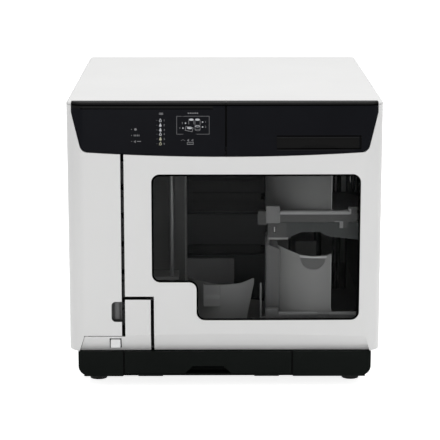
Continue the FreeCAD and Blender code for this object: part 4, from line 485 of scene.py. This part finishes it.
finishes = {
    "outer_case": whiteCase, "disc_cover": whiteCover, "ink_cover": gripCover,
    "front_corner_block": whiteCover, "power_button": whiteButton, "power_switch": driveBlack,
    "cover_hinge_pins": brightSteel,
    "cover_window": smokedGlass, "operation_panel": panelBlack, "right_fascia": fasciaBlack,
    "base_tray": blackBase, "stacker_drawer": blackBase, "rubber_feet": softRubber, "deck_plate": darkGrey,
    "side_frames": coatedBlack, "roof_frame": darkSteel, "bay_partition": wallGrey,
    "stacker_1": upperCupShaded, "stacker_2": lowerCupLit, "stacker_3": drawerCupLit, "stacker_stand": darkGrey,
    "lower_slide_plate": plateGrey, "upper_slide_shelf": shelfGrey, "shelf_frame": frameGrey,
    "drive_1_tray": deepBlack, "drive_2_tray": deepBlack, "drive_1_eject_button": driveBlack,
    "drive_2_eject_button": driveBlack, "drive_housings": darkSteel, "drive_bezels": driveBlack,
    "drive_mechanisms": brightSteel, "drive_cage": darkSteel, "control_board": boardGreen,
    "board_standoffs": brightSteel, "printer_chassis": darkGrey, "printer_front": darkGrey,
    "printer_fascia": fasciaGrey, "print_tray": darkGrey, "carriage_rail": brightSteel,
    "print_carriage": driveBlack, "carriage_belt": beltRubber, "arm_column": coatedBlack,
    "lift_belt": beltRubber, "lift_pulley_upper": aluminium, "lift_pulley_lower": aluminium,
    "lift_motor": sheetSteel, "lift_carriage": darkGrey, "swing_arm": darkGrey, "grip_claws": midGrey,
    "centre_pillar": pillarGrey, "rod_brackets": bracketGrey, "guide_rod": rodSatin, "ink_holder": darkGrey,
    "ink_cartridges": inkPlastic, "power_supply": sheetSteel, "rear_panel": ductSteel,
    "exhaust_duct": ductSteel, "fan_frame": driveBlack, "fan_rotor": driveBlack, "rear_sockets": driveBlack,
}
for name, node in nodes.items():
    node.data.materials.clear()
    node.data.materials.append(finishes[name])
print("finishes set:", len(finishes))


# loose pieces, drawn with mesh operators
def linkPiece(mesh, name, body, *materials):
    bmesh.ops.recalc_face_normals(mesh, faces=mesh.faces)
    data = bpy.data.meshes.new(name)
    mesh.to_mesh(data)
    mesh.free()
    piece = bpy.data.objects.new(name, data)
    bpy.context.scene.collection.objects.link(piece)
    for material in materials:
        data.materials.append(material)
    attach(piece, body)


def facesOf(points):
    return {face for point in points for face in point.link_faces}


def moveBy(mesh, points, x, y, z):  # in millimetres
    bmesh.ops.translate(mesh, vec=(x * mm, y * mm, z * mm), verts=points)


def turnBy(mesh, points, angle, axis):
    bmesh.ops.rotate(mesh, cent=(0, 0, 0), matrix=Matrix.Rotation(math.radians(angle), 3, axis), verts=points)


def softenEdges(mesh, edges, size):
    bmesh.ops.bevel(mesh, geom=list(edges), affect="EDGES", offset=size * mm, segments=2, profile=0.5,
                    material=-1)


def standUp(mesh, points, x, z, wide, tall, slot, turn=0.0):  # from flat round the middle to upright at x, z
    bmesh.ops.scale(mesh, vec=(wide * mm, tall * mm, 1), verts=points)
    turnBy(mesh, points, turn, "Z")
    turnBy(mesh, points, 90, "X")
    moveBy(mesh, points, x, 0, z)
    faces = facesOf(points)
    for face in faces:
        face.material_index = slot
    return faces


def bar(mesh, x, z, wide, tall, slot=0, turn=0.0):
    points = bmesh.ops.create_grid(mesh, x_segments=1, y_segments=1, size=0.5)["verts"]
    return standUp(mesh, points, x, z, wide, tall, slot, turn)


def spot(mesh, x, z, wide, tall, slot=0, sides=20, turn=0.0):
    points = bmesh.ops.create_circle(mesh, cap_ends=True, radius=0.5, segments=sides)["verts"]
    return standUp(mesh, points, x, z, wide, tall, slot, turn)


def triangle(mesh, x, z, wide, tall, slot=0):
    return spot(mesh, x, z, wide, tall, slot, sides=3, turn=90)


dropShape = {"narrow": 0.5, "point": 0.42, "lower": 0.12}


def droplet(mesh, x, z, size, slot=0):  # a round whose upper half is drawn out to a point
    points = bmesh.ops.create_circle(mesh, cap_ends=True, radius=0.5, segments=20)["verts"]
    for point in points:
        rise = max(0.0, point.co.y * 2)
        point.co.x *= 1 - dropShape["narrow"] * rise
        point.co.y += dropShape["point"] * rise ** 3 - dropShape["lower"]
    return standUp(mesh, points, x, z, size, size, slot)


def hollow(mesh, faces, line):  # leaves only an outline of this width
    bmesh.ops.inset_region(mesh, faces=list(faces), thickness=line * mm, use_boundary=True,
                           use_even_offset=True)
    bmesh.ops.delete(mesh, geom=list(faces), context="FACES_ONLY")


def digit(mesh, label, x, z, tall, slot):
    curve = bpy.data.curves.new("digit", "FONT")
    curve.body = label
    curve.align_x = "CENTER"
    curve.align_y = "CENTER"
    curve.resolution_u = 3
    letter = bpy.data.objects.new("digit", curve)
    bpy.context.scene.collection.objects.link(letter)
    bpy.context.view_layer.update()
    flat = bpy.data.meshes.new_from_object(letter.evaluated_get(bpy.context.evaluated_depsgraph_get()))
    bpy.data.objects.remove(letter)
    bpy.data.curves.remove(curve)
    before = set(mesh.verts)
    mesh.from_mesh(flat)
    bpy.data.meshes.remove(flat)
    points = [point for point in mesh.verts if point not in before]
    body = tall * 1.35  # a digit is lower than its type size
    standUp(mesh, points, x, z, body, body, slot)


def thicken(mesh, faces, far):  # pushes flat faces along y, in millimetres, and keeps the shape closed
    made = bmesh.ops.extrude_face_region(mesh, geom=list(faces))
    moved = [item for item in made["geom"] if isinstance(item, bmesh.types.BMVert)]
    moveBy(mesh, moved, 0, far, 0)


def keepOneSide(mesh, y, front):  # cuts the whole mesh on an upright plane and closes the cut
    bmesh.ops.bisect_plane(mesh, geom=mesh.verts[:] + mesh.edges[:] + mesh.faces[:], plane_co=(0, y * mm, 0),
                           plane_no=(0, 1, 0), clear_outer=front, clear_inner=not front)
    bmesh.ops.holes_fill(mesh, edges=[edge for edge in mesh.edges if edge.is_boundary], sides=0)


def brick(mesh, low, high, soften=0.0, slot=0):  # between two corners, in millimetres, with softened edges
    points = bmesh.ops.create_cube(mesh, size=1)["verts"]
    bmesh.ops.scale(mesh, vec=[(top - bottom) * mm for bottom, top in zip(low, high)], verts=points)
    moveBy(mesh, points, *((top + bottom) / 2 for bottom, top in zip(low, high)))
    for face in facesOf(points):
        face.material_index = slot
    if soften:
        softenEdges(mesh, {edge for point in points for edge in point.link_edges}, soften)


headShape = {"tall": 0.5, "top": 0.7, "crossLong": 1.1, "crossWide": 0.26, "proud": 0.03}  # for a radius of 1


def screwHead(mesh, x, y, z, size, turn, metal=0, dark=1):  # pan head with a cross, facing back; the cross is a dark bar painted as the shade in its recess
    height = size * headShape["tall"]
    head = bmesh.ops.create_cone(mesh, cap_ends=True, segments=16, radius1=size * mm,
                                 radius2=size * headShape["top"] * mm, depth=height * mm)["verts"]
    moveBy(mesh, head, 0, 0, height / 2)
    for face in facesOf(head):
        face.material_index = metal
    points = list(head)
    long, wide = headShape["crossLong"], headShape["crossWide"]
    for across, along in ((long, wide), (wide, long)):
        arm = bmesh.ops.create_cube(mesh, size=mm)["verts"]
        bmesh.ops.scale(mesh, vec=(across * size, along * size, height * 0.5), verts=arm)
        moveBy(mesh, arm, 0, 0, height * 0.75 + headShape["proud"])
        for face in facesOf(arm):
            face.material_index = dark
        points += arm
    turnBy(mesh, points, turn, "Z")
    turnBy(mesh, points, -90, "X")
    moveBy(mesh, points, x, y, z)


rayStart = -400.0  # ahead of the whole front, in millimetres


def layOn(mesh, host, lift):  # brings flat marks onto the front of a node
    skin = bmesh.new()
    skin.from_mesh(host.data)
    tree = BVHTree.FromBMesh(skin)
    for point in mesh.verts:
        place = tree.ray_cast(Vector((point.co.x, rayStart * mm, point.co.z)), Vector((0, 1, 0)))[0]
        point.co.y = place.y - lift * mm
    skin.free()


inkLook = {"ramp": (0.35, 0.65), "dark": 0.86, "bright": 1.08, "spread": 0.08, "grain": 4200.0,
           "cloud": 220.0}


def plainInk(name, colour, rough=0.5):
    material, tree, shader = startMaterial(name)
    look = useGroup(tree, mouldGrain, Grain=inkLook["grain"], Cloud=inkLook["cloud"])
    tone = blendColours(tree, look["Tone"], shade(colour, inkLook["dark"]), shade(colour, inkLook["bright"]),
                        *inkLook["ramp"])
    gloss = spread(tree, look["Smudge"], rough - inkLook["spread"], rough + inkLook["spread"])
    tree.links.new(tone, shader.inputs["Base Color"])
    tree.links.new(gloss, shader.inputs["Roughness"])
    return material


panelInks = {"whiteInk": (0.56, 0.57, 0.6), "greyInk": (0.075, 0.076, 0.082), "dimInk": (0.2, 0.2, 0.21),
             "amberInk": (0.5, 0.49, 0.36)}
white, grey, dim, amber = range(len(panelInks))  # their slots

panelSigns = {
    "stateLamps": {"draw": spot, "at": ((-110.2, 316.5), (-110.2, 309.3), (-110.2, 302.2)),
                   "size": (0.9, 0.9), "ink": dim},
    "power": {"draw": spot, "at": ((-105.5, 316.5),), "size": (3.0, 3.0), "ink": dim},
    "busy": {"draw": bar, "at": ((-107.1, 309.3), (-105.2, 309.3), (-103.3, 309.3), (-101.4, 309.3)),
             "size": (0.9, 2.1), "ink": dim},
    "error": {"draw": triangle, "at": ((-106.1, 302.0),), "size": (3.6, 3.4), "ink": dim, "line": 0.5},
    "errorDash": {"draw": bar, "at": ((-101.5, 302.2),), "size": (4.6, 0.8), "ink": dim},
    "inkHeading": {"draw": bar, "at": ((-75.2, 335.2),), "size": (4.6, 2.3), "ink": dim, "line": 0.5},
    "inkHeadingBar": {"draw": bar, "at": ((-75.2, 335.2),), "size": (2.4, 0.7), "ink": dim},
    "border": {"draw": bar, "at": ((-37.65, 321.55),), "size": (39.1, 22.1), "ink": grey, "line": 0.7},
    "cupHeading": {"draw": spot, "at": [(-42.8 + step * 2.6, 335.9) for step in range(5)],
                   "size": (2.1, 1.5), "ink": dim},
    "cupLamps": {"draw": spot, "at": ((-46.4, 324.0), (-49.5, 318.1), (-26.3, 325.3), (-26.3, 319.5)),
                 "size": (1.7, 1.7), "ink": white},
    "fullCups": {"draw": spot, "at": ((-39.6, 328.2), (-32.2, 328.2)), "size": (5.6, 2.6), "ink": white},
    "emptyCup": {"draw": spot, "at": ((-32.2, 320.4),), "size": (5.8, 2.4), "ink": white, "line": 0.5},
    "longWalls": {"draw": bar, "at": ((-35.2, 324.4), (-29.2, 324.4)), "size": (0.5, 6.4), "ink": dim},
    "shortWalls": {"draw": bar, "at": ((-35.2, 318.2), (-29.2, 318.2)), "size": (0.5, 4.0), "ink": dim},
    "leftWalls": {"draw": bar, "at": ((-42.6, 325.2), (-36.6, 325.2)), "size": (0.5, 5.2), "ink": dim},
    "cupFoot": {"draw": spot, "at": ((-32.2, 315.9),), "size": (6.2, 2.2), "ink": dim, "line": 0.5},
    "drawer": {"draw": bar, "at": ((-42.2, 317.0),), "size": (9.0, 5.4), "ink": dim, "line": 0.6,
               "turn": -12},
    "drawerDisc": {"draw": spot, "at": ((-41.6, 318.4),), "size": (6.0, 3.0), "ink": white},
    "printTray": {"draw": triangle, "at": ((-43.2, 303.6), (-38.2, 303.6)), "size": (3.4, 3.2), "ink": dim,
                  "line": 0.5},
    "trayTop": {"draw": bar, "at": ((-40.8, 301.2),), "size": (7.2, 0.6), "ink": dim},
    "trayFloor": {"draw": bar, "at": ((-40.8, 298.8),), "size": (7.6, 0.8), "ink": dim},
    "traySides": {"draw": bar, "at": ((-44.5, 300.0), (-37.2, 300.0)), "size": (0.5, 2.4), "ink": dim},
    "coverLeft": {"draw": bar, "at": ((-50.6, 303.8),), "size": (3.0, 0.5), "ink": grey, "turn": 24},
    "coverRight": {"draw": bar, "at": ((-48.0, 303.6),), "size": (2.6, 0.5), "ink": grey, "turn": -32},
}
inkDrops = {"x": -76.1, "z": (327.2, 321.5, 315.9, 310.8, 305.1, 299.5), "size": 3.1, "amber": (4, 5),
            "empty": (0, 3, 5), "line": 0.55, "lights": -80.2, "light": 0.9, "numbers": -71.6, "tall": 2.6}
cupNumbers = {"at": {"3": (-50.2, 324.0), "4": (-53.2, 318.1), "1": (-22.8, 325.3), "2": (-22.8, 319.5)},
              "tall": 2.4}
marksLift = 0.012  # above the panel, in millimetres


def drawSigns(mesh, signs):
    for sign in signs.values():
        extra = {"turn": sign["turn"]} if "turn" in sign else {}
        for x, z in sign["at"]:
            faces = sign["draw"](mesh, x, z, *sign["size"], sign["ink"], **extra)
            if "line" in sign:
                hollow(mesh, faces, sign["line"])


def drawDrops(mesh, look):  # one droplet, light and number for each ink
    for count, z in enumerate(look["z"]):
        faces = droplet(mesh, look["x"], z, look["size"], amber if count in look["amber"] else white)
        if count in look["empty"]:
            hollow(mesh, faces, look["line"])
        spot(mesh, look["lights"], z, look["light"], look["light"], grey)
        digit(mesh, str(count + 1), look["numbers"], z, look["tall"], dim)


def makePanelMarks():
    mesh = bmesh.new()
    drawSigns(mesh, panelSigns)
    drawDrops(mesh, inkDrops)
    for label, (x, z) in cupNumbers["at"].items():
        digit(mesh, label, x, z, cupNumbers["tall"], dim)
    layOn(mesh, nodes["operation_panel"], marksLift)
    linkPiece(mesh, "panelMarks", "machine", *(plainInk(name, colour) for name, colour in panelInks.items()))


makePanelMarks()
print("panel marks drawn")

gasket = {"rebate": 6.0, "stepX": -34.0, "stepZ": 130.5, "round": 10.0, "innerRound": 9.0, "width": 2.2,
          "thick": 0.6, "sink": 0.2, "longest": 30, "cuts": 12}


def makeWindowGasket(look):  # black rubber edging just inside the window's opening
    mesh = bmesh.new()
    low, high = boxOf("cover_window")
    left, bottom, right, top = (low[0] + look["rebate"], low[2] + look["rebate"], high[0] - look["rebate"],
                                high[2] - look["rebate"])
    corners = ((look["stepX"], bottom), (right, bottom), (right, top), (left, top), (left, look["stepZ"]),
               (look["stepX"], look["stepZ"]))
    points = [mesh.verts.new((x * mm, 0, z * mm)) for x, z in corners]
    mesh.faces.new(points)
    for chosen, radius in ((points[:5], look["round"]), (points[5:], look["innerRound"])):
        bmesh.ops.bevel(mesh, geom=chosen, affect="VERTICES", offset=radius * mm, segments=8, profile=0.5,
                        material=-1)
    straight = [edge for edge in mesh.edges if edge.calc_length() > look["longest"] * mm]
    bmesh.ops.subdivide_edges(mesh, edges=straight, cuts=look["cuts"])
    hollow(mesh, mesh.faces[:], look["width"])
    layOn(mesh, nodes["cover_window"], look["sink"])
    thicken(mesh, mesh.faces[:], -look["thick"])
    linkPiece(mesh, "windowGasket", "disc_cover", rubberBlackAndHoleShade)


makeWindowGasket(gasket)

gripBar = {"middle": -130.4, "face": -239.4, "back": -237.2, "radius": 4.4, "low": 83.4, "high": 104.4}


def makeGripBar(look):  # rounded upright bar at the back of the finger recess
    mesh = bmesh.new()
    radius, back = look["radius"], look["back"]
    points = bmesh.ops.create_cone(mesh, cap_ends=True, segments=32, radius1=radius * mm, radius2=radius * mm,
                                   depth=(look["high"] - look["low"]) * mm)["verts"]
    bmesh.ops.scale(mesh, vec=(1, (back - look["face"]) / radius, 1), verts=points)
    moveBy(mesh, points, look["middle"], back, (look["low"] + look["high"]) / 2)
    keepOneSide(mesh, back, front=True)
    linkPiece(mesh, "gripBar", "ink_cover", gripDark)


makeGripBar(gripBar)

rearSkin = boxOf("rear_panel")[1][1]
backLouvres = {"columns": ((-140.0, 122.0), (-88.0, 122.0), (78.0, 70.0), (130.0, 70.0)), "rows": 9,
               "pitch": 9.5, "wide": 38.0, "tall": 5.0, "deep": 2.4, "soften": 1.1, "dark": -0.25}


def makeLouvre(mesh, look, x, z):
    before = set(mesh.verts)
    radius = look["tall"] / 2
    made = bmesh.ops.create_cone(mesh, cap_ends=True, segments=12, radius1=radius * mm, radius2=radius * mm,
                                 depth=look["wide"] * mm)["verts"]
    rims = {edge for point in made for edge in point.link_edges
            if math.isclose(edge.verts[0].co.z, edge.verts[1].co.z, abs_tol=0.1 * mm)}
    softenEdges(mesh, rims, look["soften"])
    points = [point for point in mesh.verts if point not in before]
    turnBy(mesh, points, 90, "Y")
    bmesh.ops.scale(mesh, vec=(1, look["deep"] / radius, 1), verts=points)
    moveBy(mesh, points, x, rearSkin, z)


def makeBackLouvres(look):  # hoods pressed out of the back panel, open below
    mesh = bmesh.new()
    for column, low in look["columns"]:
        for row in range(look["rows"]):
            makeLouvre(mesh, look, column, low + row * look["pitch"])
    keepOneSide(mesh, rearSkin, front=False)
    mesh.normal_update()
    for face in mesh.faces:
        face.material_index = 1 if face.normal.z < look["dark"] else 0  # what faces down is painted dark as the shade of an open slot
    linkPiece(mesh, "backLouvres", "machine", ductSteel, rubberBlackAndHoleShade)


makeBackLouvres(backLouvres)

backScrews = {"size": 3.4, "turn": 37.0, "places": (
    (-177, 58), (-177, 150), (-177, 242), (-177, 336), (177, 58), (177, 150), (177, 242), (177, 336),
    (-90, 338), (0, 338), (90, 338), (-90, 52), (40, 52), (110, 52), (20, 58), (20, 300), (20, 180))}
ductFlange = {"thick": 1.0, "wide": 9.0, "soften": 0.4, "screw": 2.89, "sideMargin": 12.0, "topMargin": 20.0}


def makeBackFixings(screws, flange):  # screws of the back panel, and the duct's flange with its own
    mesh = bmesh.new()
    for count, (x, z) in enumerate(screws["places"]):
        screwHead(mesh, x, rearSkin, z, screws["size"], turn=count * screws["turn"])
    ductLow, ductHigh = boxOf("exhaust_duct")
    left, low, right, high = ductLow[0], ductLow[2], ductHigh[0], ductHigh[2]
    out, wide, soften = rearSkin + flange["thick"], flange["wide"], flange["soften"]
    brick(mesh, (left - wide, rearSkin, low), (left, out, high + wide), soften, 2)
    brick(mesh, (right, rearSkin, low), (right + wide, out, high + wide), soften, 2)
    brick(mesh, (left, rearSkin, high), (right, out, high + wide), soften, 2)
    for x in (left - wide / 2, right + wide / 2):
        for z in (low + flange["sideMargin"], high - flange["sideMargin"]):
            screwHead(mesh, x, out, z, flange["screw"], turn=x + z)
    for x in (left + flange["topMargin"], right - flange["topMargin"]):
        screwHead(mesh, x, out, high + wide / 2, flange["screw"], turn=x)
    linkPiece(mesh, "backFixings", "machine", brightSteel, rubberBlackAndHoleShade, ductSteel)


makeBackFixings(backScrews, ductFlange)

socketRims = {"thick": 1.6, "soften": 0.4, "rims": {
    "mains": {"x": -140.0, "z": 90.0, "wide": 34.0, "tall": 26.0, "line": 6.0},
    "data": {"x": -60.0, "z": 75.0, "wide": 15.6, "tall": 15.0, "line": 3.3}},
    "screws": ((-154.3, 90.0), (-125.7, 90.0)), "screw": 1.9}


def makeSocketRims(look):  # raised rims round the mains inlet and the data socket
    mesh = bmesh.new()
    for rim in look["rims"].values():
        hollow(mesh, bar(mesh, rim["x"], rim["z"], rim["wide"], rim["tall"]), rim["line"])
    moveBy(mesh, mesh.verts, 0, rearSkin, 0)
    thicken(mesh, mesh.faces[:], look["thick"])
    middle = (rearSkin + look["thick"] / 2) * mm
    softenEdges(mesh, [edge for edge in mesh.edges if all(point.co.y > middle for point in edge.verts)],
                look["soften"])
    for x, z in look["screws"]:
        screwHead(mesh, x, rearSkin + look["thick"], z, look["screw"], turn=x, metal=1, dark=2)
    linkPiece(mesh, "socketRims", "machine", driveBlack, brightSteel, rubberBlackAndHoleShade)


makeSocketRims(socketRims)
print("back panel dressed")

baseSkirts = {"low": 12.2, "high": 14.4, "front": -243.4, "back": -222.0,
              "spans": ((-171.0, -123.0), (82.6, 171.0)), "soften": 0.9}


def makeBaseSkirts(look):  # lower edges of the base, left and right of the drawer
    mesh = bmesh.new()
    for left, right in look["spans"]:
        brick(mesh, (left, look["front"], look["low"]), (right, look["back"], look["high"]), look["soften"])
    linkPiece(mesh, "baseSkirts", "machine", blackBase)


makeBaseSkirts(baseSkirts)

driveFace = boxOf("drive_bezels")[0][1]
driveFronts = {"trays": ("drive_1_tray", "drive_2_tray"), "drop": 11.5, "sink": 0.2,
               "lamp": {"left": 56.0, "right": 61.0, "half": 0.9, "proud": 0.5, "soften": 0.25},
               "hole": {"middle": 47.0, "half": 0.8, "proud": 0.05}}


def makeDriveFronts(look):  # busy lamp and emergency hole of each drive, below its tray; the hole is a dark block painted as its shade
    mesh = bmesh.new()
    lamp, hole, back = look["lamp"], look["hole"], driveFace + look["sink"]
    for tray in look["trays"]:
        low, high = boxOf(tray)
        z = (low[2] + high[2]) / 2 - look["drop"]
        brick(mesh, (lamp["left"], driveFace - lamp["proud"], z - lamp["half"]),
              (lamp["right"], back, z + lamp["half"]), lamp["soften"])
        brick(mesh, (hole["middle"] - hole["half"], driveFace - hole["proud"], z - hole["half"]),
              (hole["middle"] + hole["half"], back, z + hole["half"]), slot=1)
    linkPiece(mesh, "driveFronts", "machine", plainInk("lampAmber", (0.55, 0.32, 0.05), 0.3), rubberBlackAndHoleShade)


makeDriveFronts(driveFronts)

trayFronts = {  # reach below and above each tray, and the strip's own finish
    "left": -50.0, "right": 50.5, "proud": 1.8, "gap": 0.05, "soften": 0.5, "fronts": {
        "trayFront1": ("drive_1_tray", 2.3, 2.3, driveBlack),
        "trayFront2": ("drive_2_tray", 2.3, 2.3, driveBlack),
        "trayFront3": ("print_tray", 0.1, 6.6, stripBlack)}}


def makeTrayFronts(look):  # flush front strips that close the tray slots
    for name, (tray, below, above, finish) in look["fronts"].items():
        mesh = bmesh.new()
        low, high = boxOf(tray)
        brick(mesh, (look["left"], driveFace - look["proud"], low[2] - below),
              (look["right"], driveFace - look["gap"], high[2] + above), look["soften"])
        linkPiece(mesh, name, tray, finish)


makeTrayFronts(trayFronts)

inkFronts = {
    "pitch": 35.0, "chip": (-173.0, -151.0), "rise": (3.0, 10.5), "proud": 0.9, "sink": 0.3, "soften": 0.35,
    "ribs": {"count": 7, "start": -139.0, "pitch": 4.4, "wide": 1.7, "soften": 0.3}, "colours": {
        "inkCyan": (0.01, 0.25, 0.55), "inkPaleCyan": (0.2, 0.55, 0.75), "inkPaleMagenta": (0.75, 0.28, 0.5),
        "inkMagenta": (0.6, 0.015, 0.2), "inkYellow": (0.8, 0.62, 0.02), "inkBlack": (0.012, 0.012, 0.013)}}


def makeInkFronts(look):  # colour chips and grip ribs of the six cartridges
    mesh = bmesh.new()
    inks = [plainInk(name, colour, 0.4) for name, colour in look["colours"].items()]
    corner = boxOf("ink_cartridges")[0]
    front, back = corner[1] - look["proud"], corner[1] + look["sink"]
    left, right = look["chip"]
    ribs = look["ribs"]
    for count in range(len(inks)):
        low, high = (corner[2] + count * look["pitch"] + rise for rise in look["rise"])
        brick(mesh, (left, front, low), (right, back, high), look["soften"], count)
        for rib in range(ribs["count"]):
            x = ribs["start"] + rib * ribs["pitch"]
            brick(mesh, (x, front, low), (x + ribs["wide"], back, high), ribs["soften"], len(inks))
    linkPiece(mesh, "inkFronts", "machine", *inks, inkPlastic)


makeInkFronts(inkFronts)

slitFlag = {"low": (59.8, -216.8, 186.0), "high": (61.2, -215.2, 192.4), "soften": 0.3}


def makeSlitFlag(look):  # pale sensor flag in the slit under the shelf's end block
    mesh = bmesh.new()
    brick(mesh, look["low"], look["high"], look["soften"])
    linkPiece(mesh, "slitFlag", "machine", flagWhite)


makeSlitFlag(slitFlag)

cupWing = {"left": 51.4, "right": 67.8, "front": -199.2, "back": -197.8, "low": 84.0, "high": 160.5,
           "rise": 7.0, "rim": 1.0, "soften": 0.3,
           "links": {"left": 52.6, "right": 55.0, "back": -194.0, "sink": 0.2, "tall": 6.0,
                     "levels": (88.0, 148.5), "soften": 0.2}}


def makeCupWing(look):  # guide plate that carries the lower cup's wall on to the left
    mesh = bmesh.new()
    left, right, links = look["left"], look["right"], look["links"]
    brick(mesh, (left, look["front"], look["low"]), (right, look["back"], look["high"]), look["soften"])
    for point in mesh.verts:
        if point.co.z > (look["high"] - look["rim"]) * mm:  # its top slopes up to the left
            share = (right * mm - point.co.x) / ((right - left) * mm)
            point.co.z += share * look["rise"] * mm
    for z in links["levels"]:
        brick(mesh, (links["left"], look["back"] - links["sink"], z),
              (links["right"], links["back"], z + links["tall"]), links["soften"])
    linkPiece(mesh, "cupWing", "machine", wingGrey)


makeCupWing(cupWing)

beltTeeth = {"inner": 8.0, "tooth": 0.8, "sink": 0.1, "margin": 0.2, "low": 42.0, "high": 308.0, "pitch": 4.0,
             "share": 0.5}


def makeBeltTeeth(look):  # teeth on the inner sides of the lifting belt
    mesh = bmesh.new()
    (left, front, _), (right, back, _) = boxOf("lift_belt")
    middle = (left + right) / 2
    tip, root = look["inner"] - look["tooth"], look["inner"] + look["sink"]
    for step in range(int((look["high"] - look["low"]) / look["pitch"])):
        z = look["low"] + step * look["pitch"]
        for near, far in ((-root, -tip), (tip, root)):
            brick(mesh, (middle + near, front + look["margin"], z),
                  (middle + far, back - look["margin"], z + look["pitch"] * look["share"]))
    linkPiece(mesh, "beltTeeth", "machine", beltRubber)


makeBeltTeeth(beltTeeth)
print("inside dressed")

# room, lamps and camera
room = {"size": 60, "floor": 0.95, "glow": 0.84, "dome": 0.41}


def makeFloor(look):
    bpy.ops.mesh.primitive_plane_add(size=look["size"])
    floor = bpy.context.object
    floor.name = "studioFloor"
    material, tree, shader = startMaterial("studioFloor")
    tree.nodes.remove(shader)
    matt = addNode(tree, "ShaderNodeBsdfDiffuse", Color=(look["floor"],) * 3 + (1,))
    glow = addNode(tree, "ShaderNodeEmission", Strength=look["glow"])
    path = addNode(tree, "ShaderNodeLightPath").outputs
    direct = mathNode(tree, "MAXIMUM", path["Is Camera Ray"], path["Is Glossy Ray"])
    seen = mathNode(tree, "MAXIMUM", direct, path["Is Transmission Ray"])
    both = addNode(tree, "ShaderNodeAddShader")
    choose = addNode(tree, "ShaderNodeMixShader")
    tree.links.new(matt.outputs[0], both.inputs[0])
    tree.links.new(glow.outputs[0], both.inputs[1])
    tree.links.new(seen, choose.inputs[0])
    tree.links.new(matt.outputs[0], choose.inputs[1])
    tree.links.new(both.outputs[0], choose.inputs[2])
    tree.links.new(choose.outputs[0], tree.nodes["Material Output"].inputs["Surface"])
    floor.data.materials.append(material)


def makeSky(look):  # soft light all round, and plain white where the camera looks past the floor
    world = bpy.data.worlds.new("studioWorld")
    bpy.context.scene.world = world
    world.use_nodes = True
    tree = world.node_tree
    dome = tree.nodes["Background"]
    dome.inputs["Color"].default_value = (1, 1, 1, 1)
    dome.inputs["Strength"].default_value = look["dome"]
    bright = addNode(tree, "ShaderNodeBackground", Color=(1, 1, 1, 1), Strength=1.0)
    path = addNode(tree, "ShaderNodeLightPath").outputs
    choose = addNode(tree, "ShaderNodeMixShader")
    tree.links.new(path["Is Camera Ray"], choose.inputs[0])
    tree.links.new(dome.outputs[0], choose.inputs[1])
    tree.links.new(bright.outputs[0], choose.inputs[2])
    tree.links.new(choose.outputs[0], tree.nodes["World Output"].inputs["Surface"])


lamps = {
    "topLamp": {"place": (0.2, 0.05, 2.4), "aim": (0, 0, 0.2), "size": 2.6, "power": 49.0},
    "frontLamp": {"place": (0.45, -2.4, 1.05), "aim": (0, 0, 0.15), "size": 1.2, "power": 3.6},
    "lowLamp": {"place": (-0.3, -2.2, 0.26), "aim": (0, 0, 0.08), "size": 0.5, "power": 2.3},
}


def makeLamp(name, look):
    data = bpy.data.lights.new(name, "AREA")
    data.size = look["size"]
    data.energy = look["power"]
    light = bpy.data.objects.new(name, data)
    bpy.context.scene.collection.objects.link(light)
    light.location = look["place"]
    light.rotation_euler = (Vector(look["aim"]) - Vector(look["place"])).to_track_quat("-Z", "Y").to_euler()


viewpoint = {"place": (-0.016, -2.351, 0.650), "down": 11.88, "right": 0.28, "lens": 147.5, "sensor": 36}


def makeCamera(look):
    data = bpy.data.cameras.new("studioCamera")
    data.sensor_width = look["sensor"]
    data.lens = look["lens"]
    camera = bpy.data.objects.new("studioCamera", data)
    bpy.context.scene.collection.objects.link(camera)
    camera.location = look["place"]
    camera.rotation_euler = (math.radians(90 - look["down"]), 0, -math.radians(look["right"]))
    bpy.context.scene.camera = camera


bpy.context.scene.view_settings.view_transform = "Standard"
makeFloor(room)
makeSky(room)
for name, look in lamps.items():
    makeLamp(name, look)
makeCamera(viewpoint)
print("room, lamps and camera set")
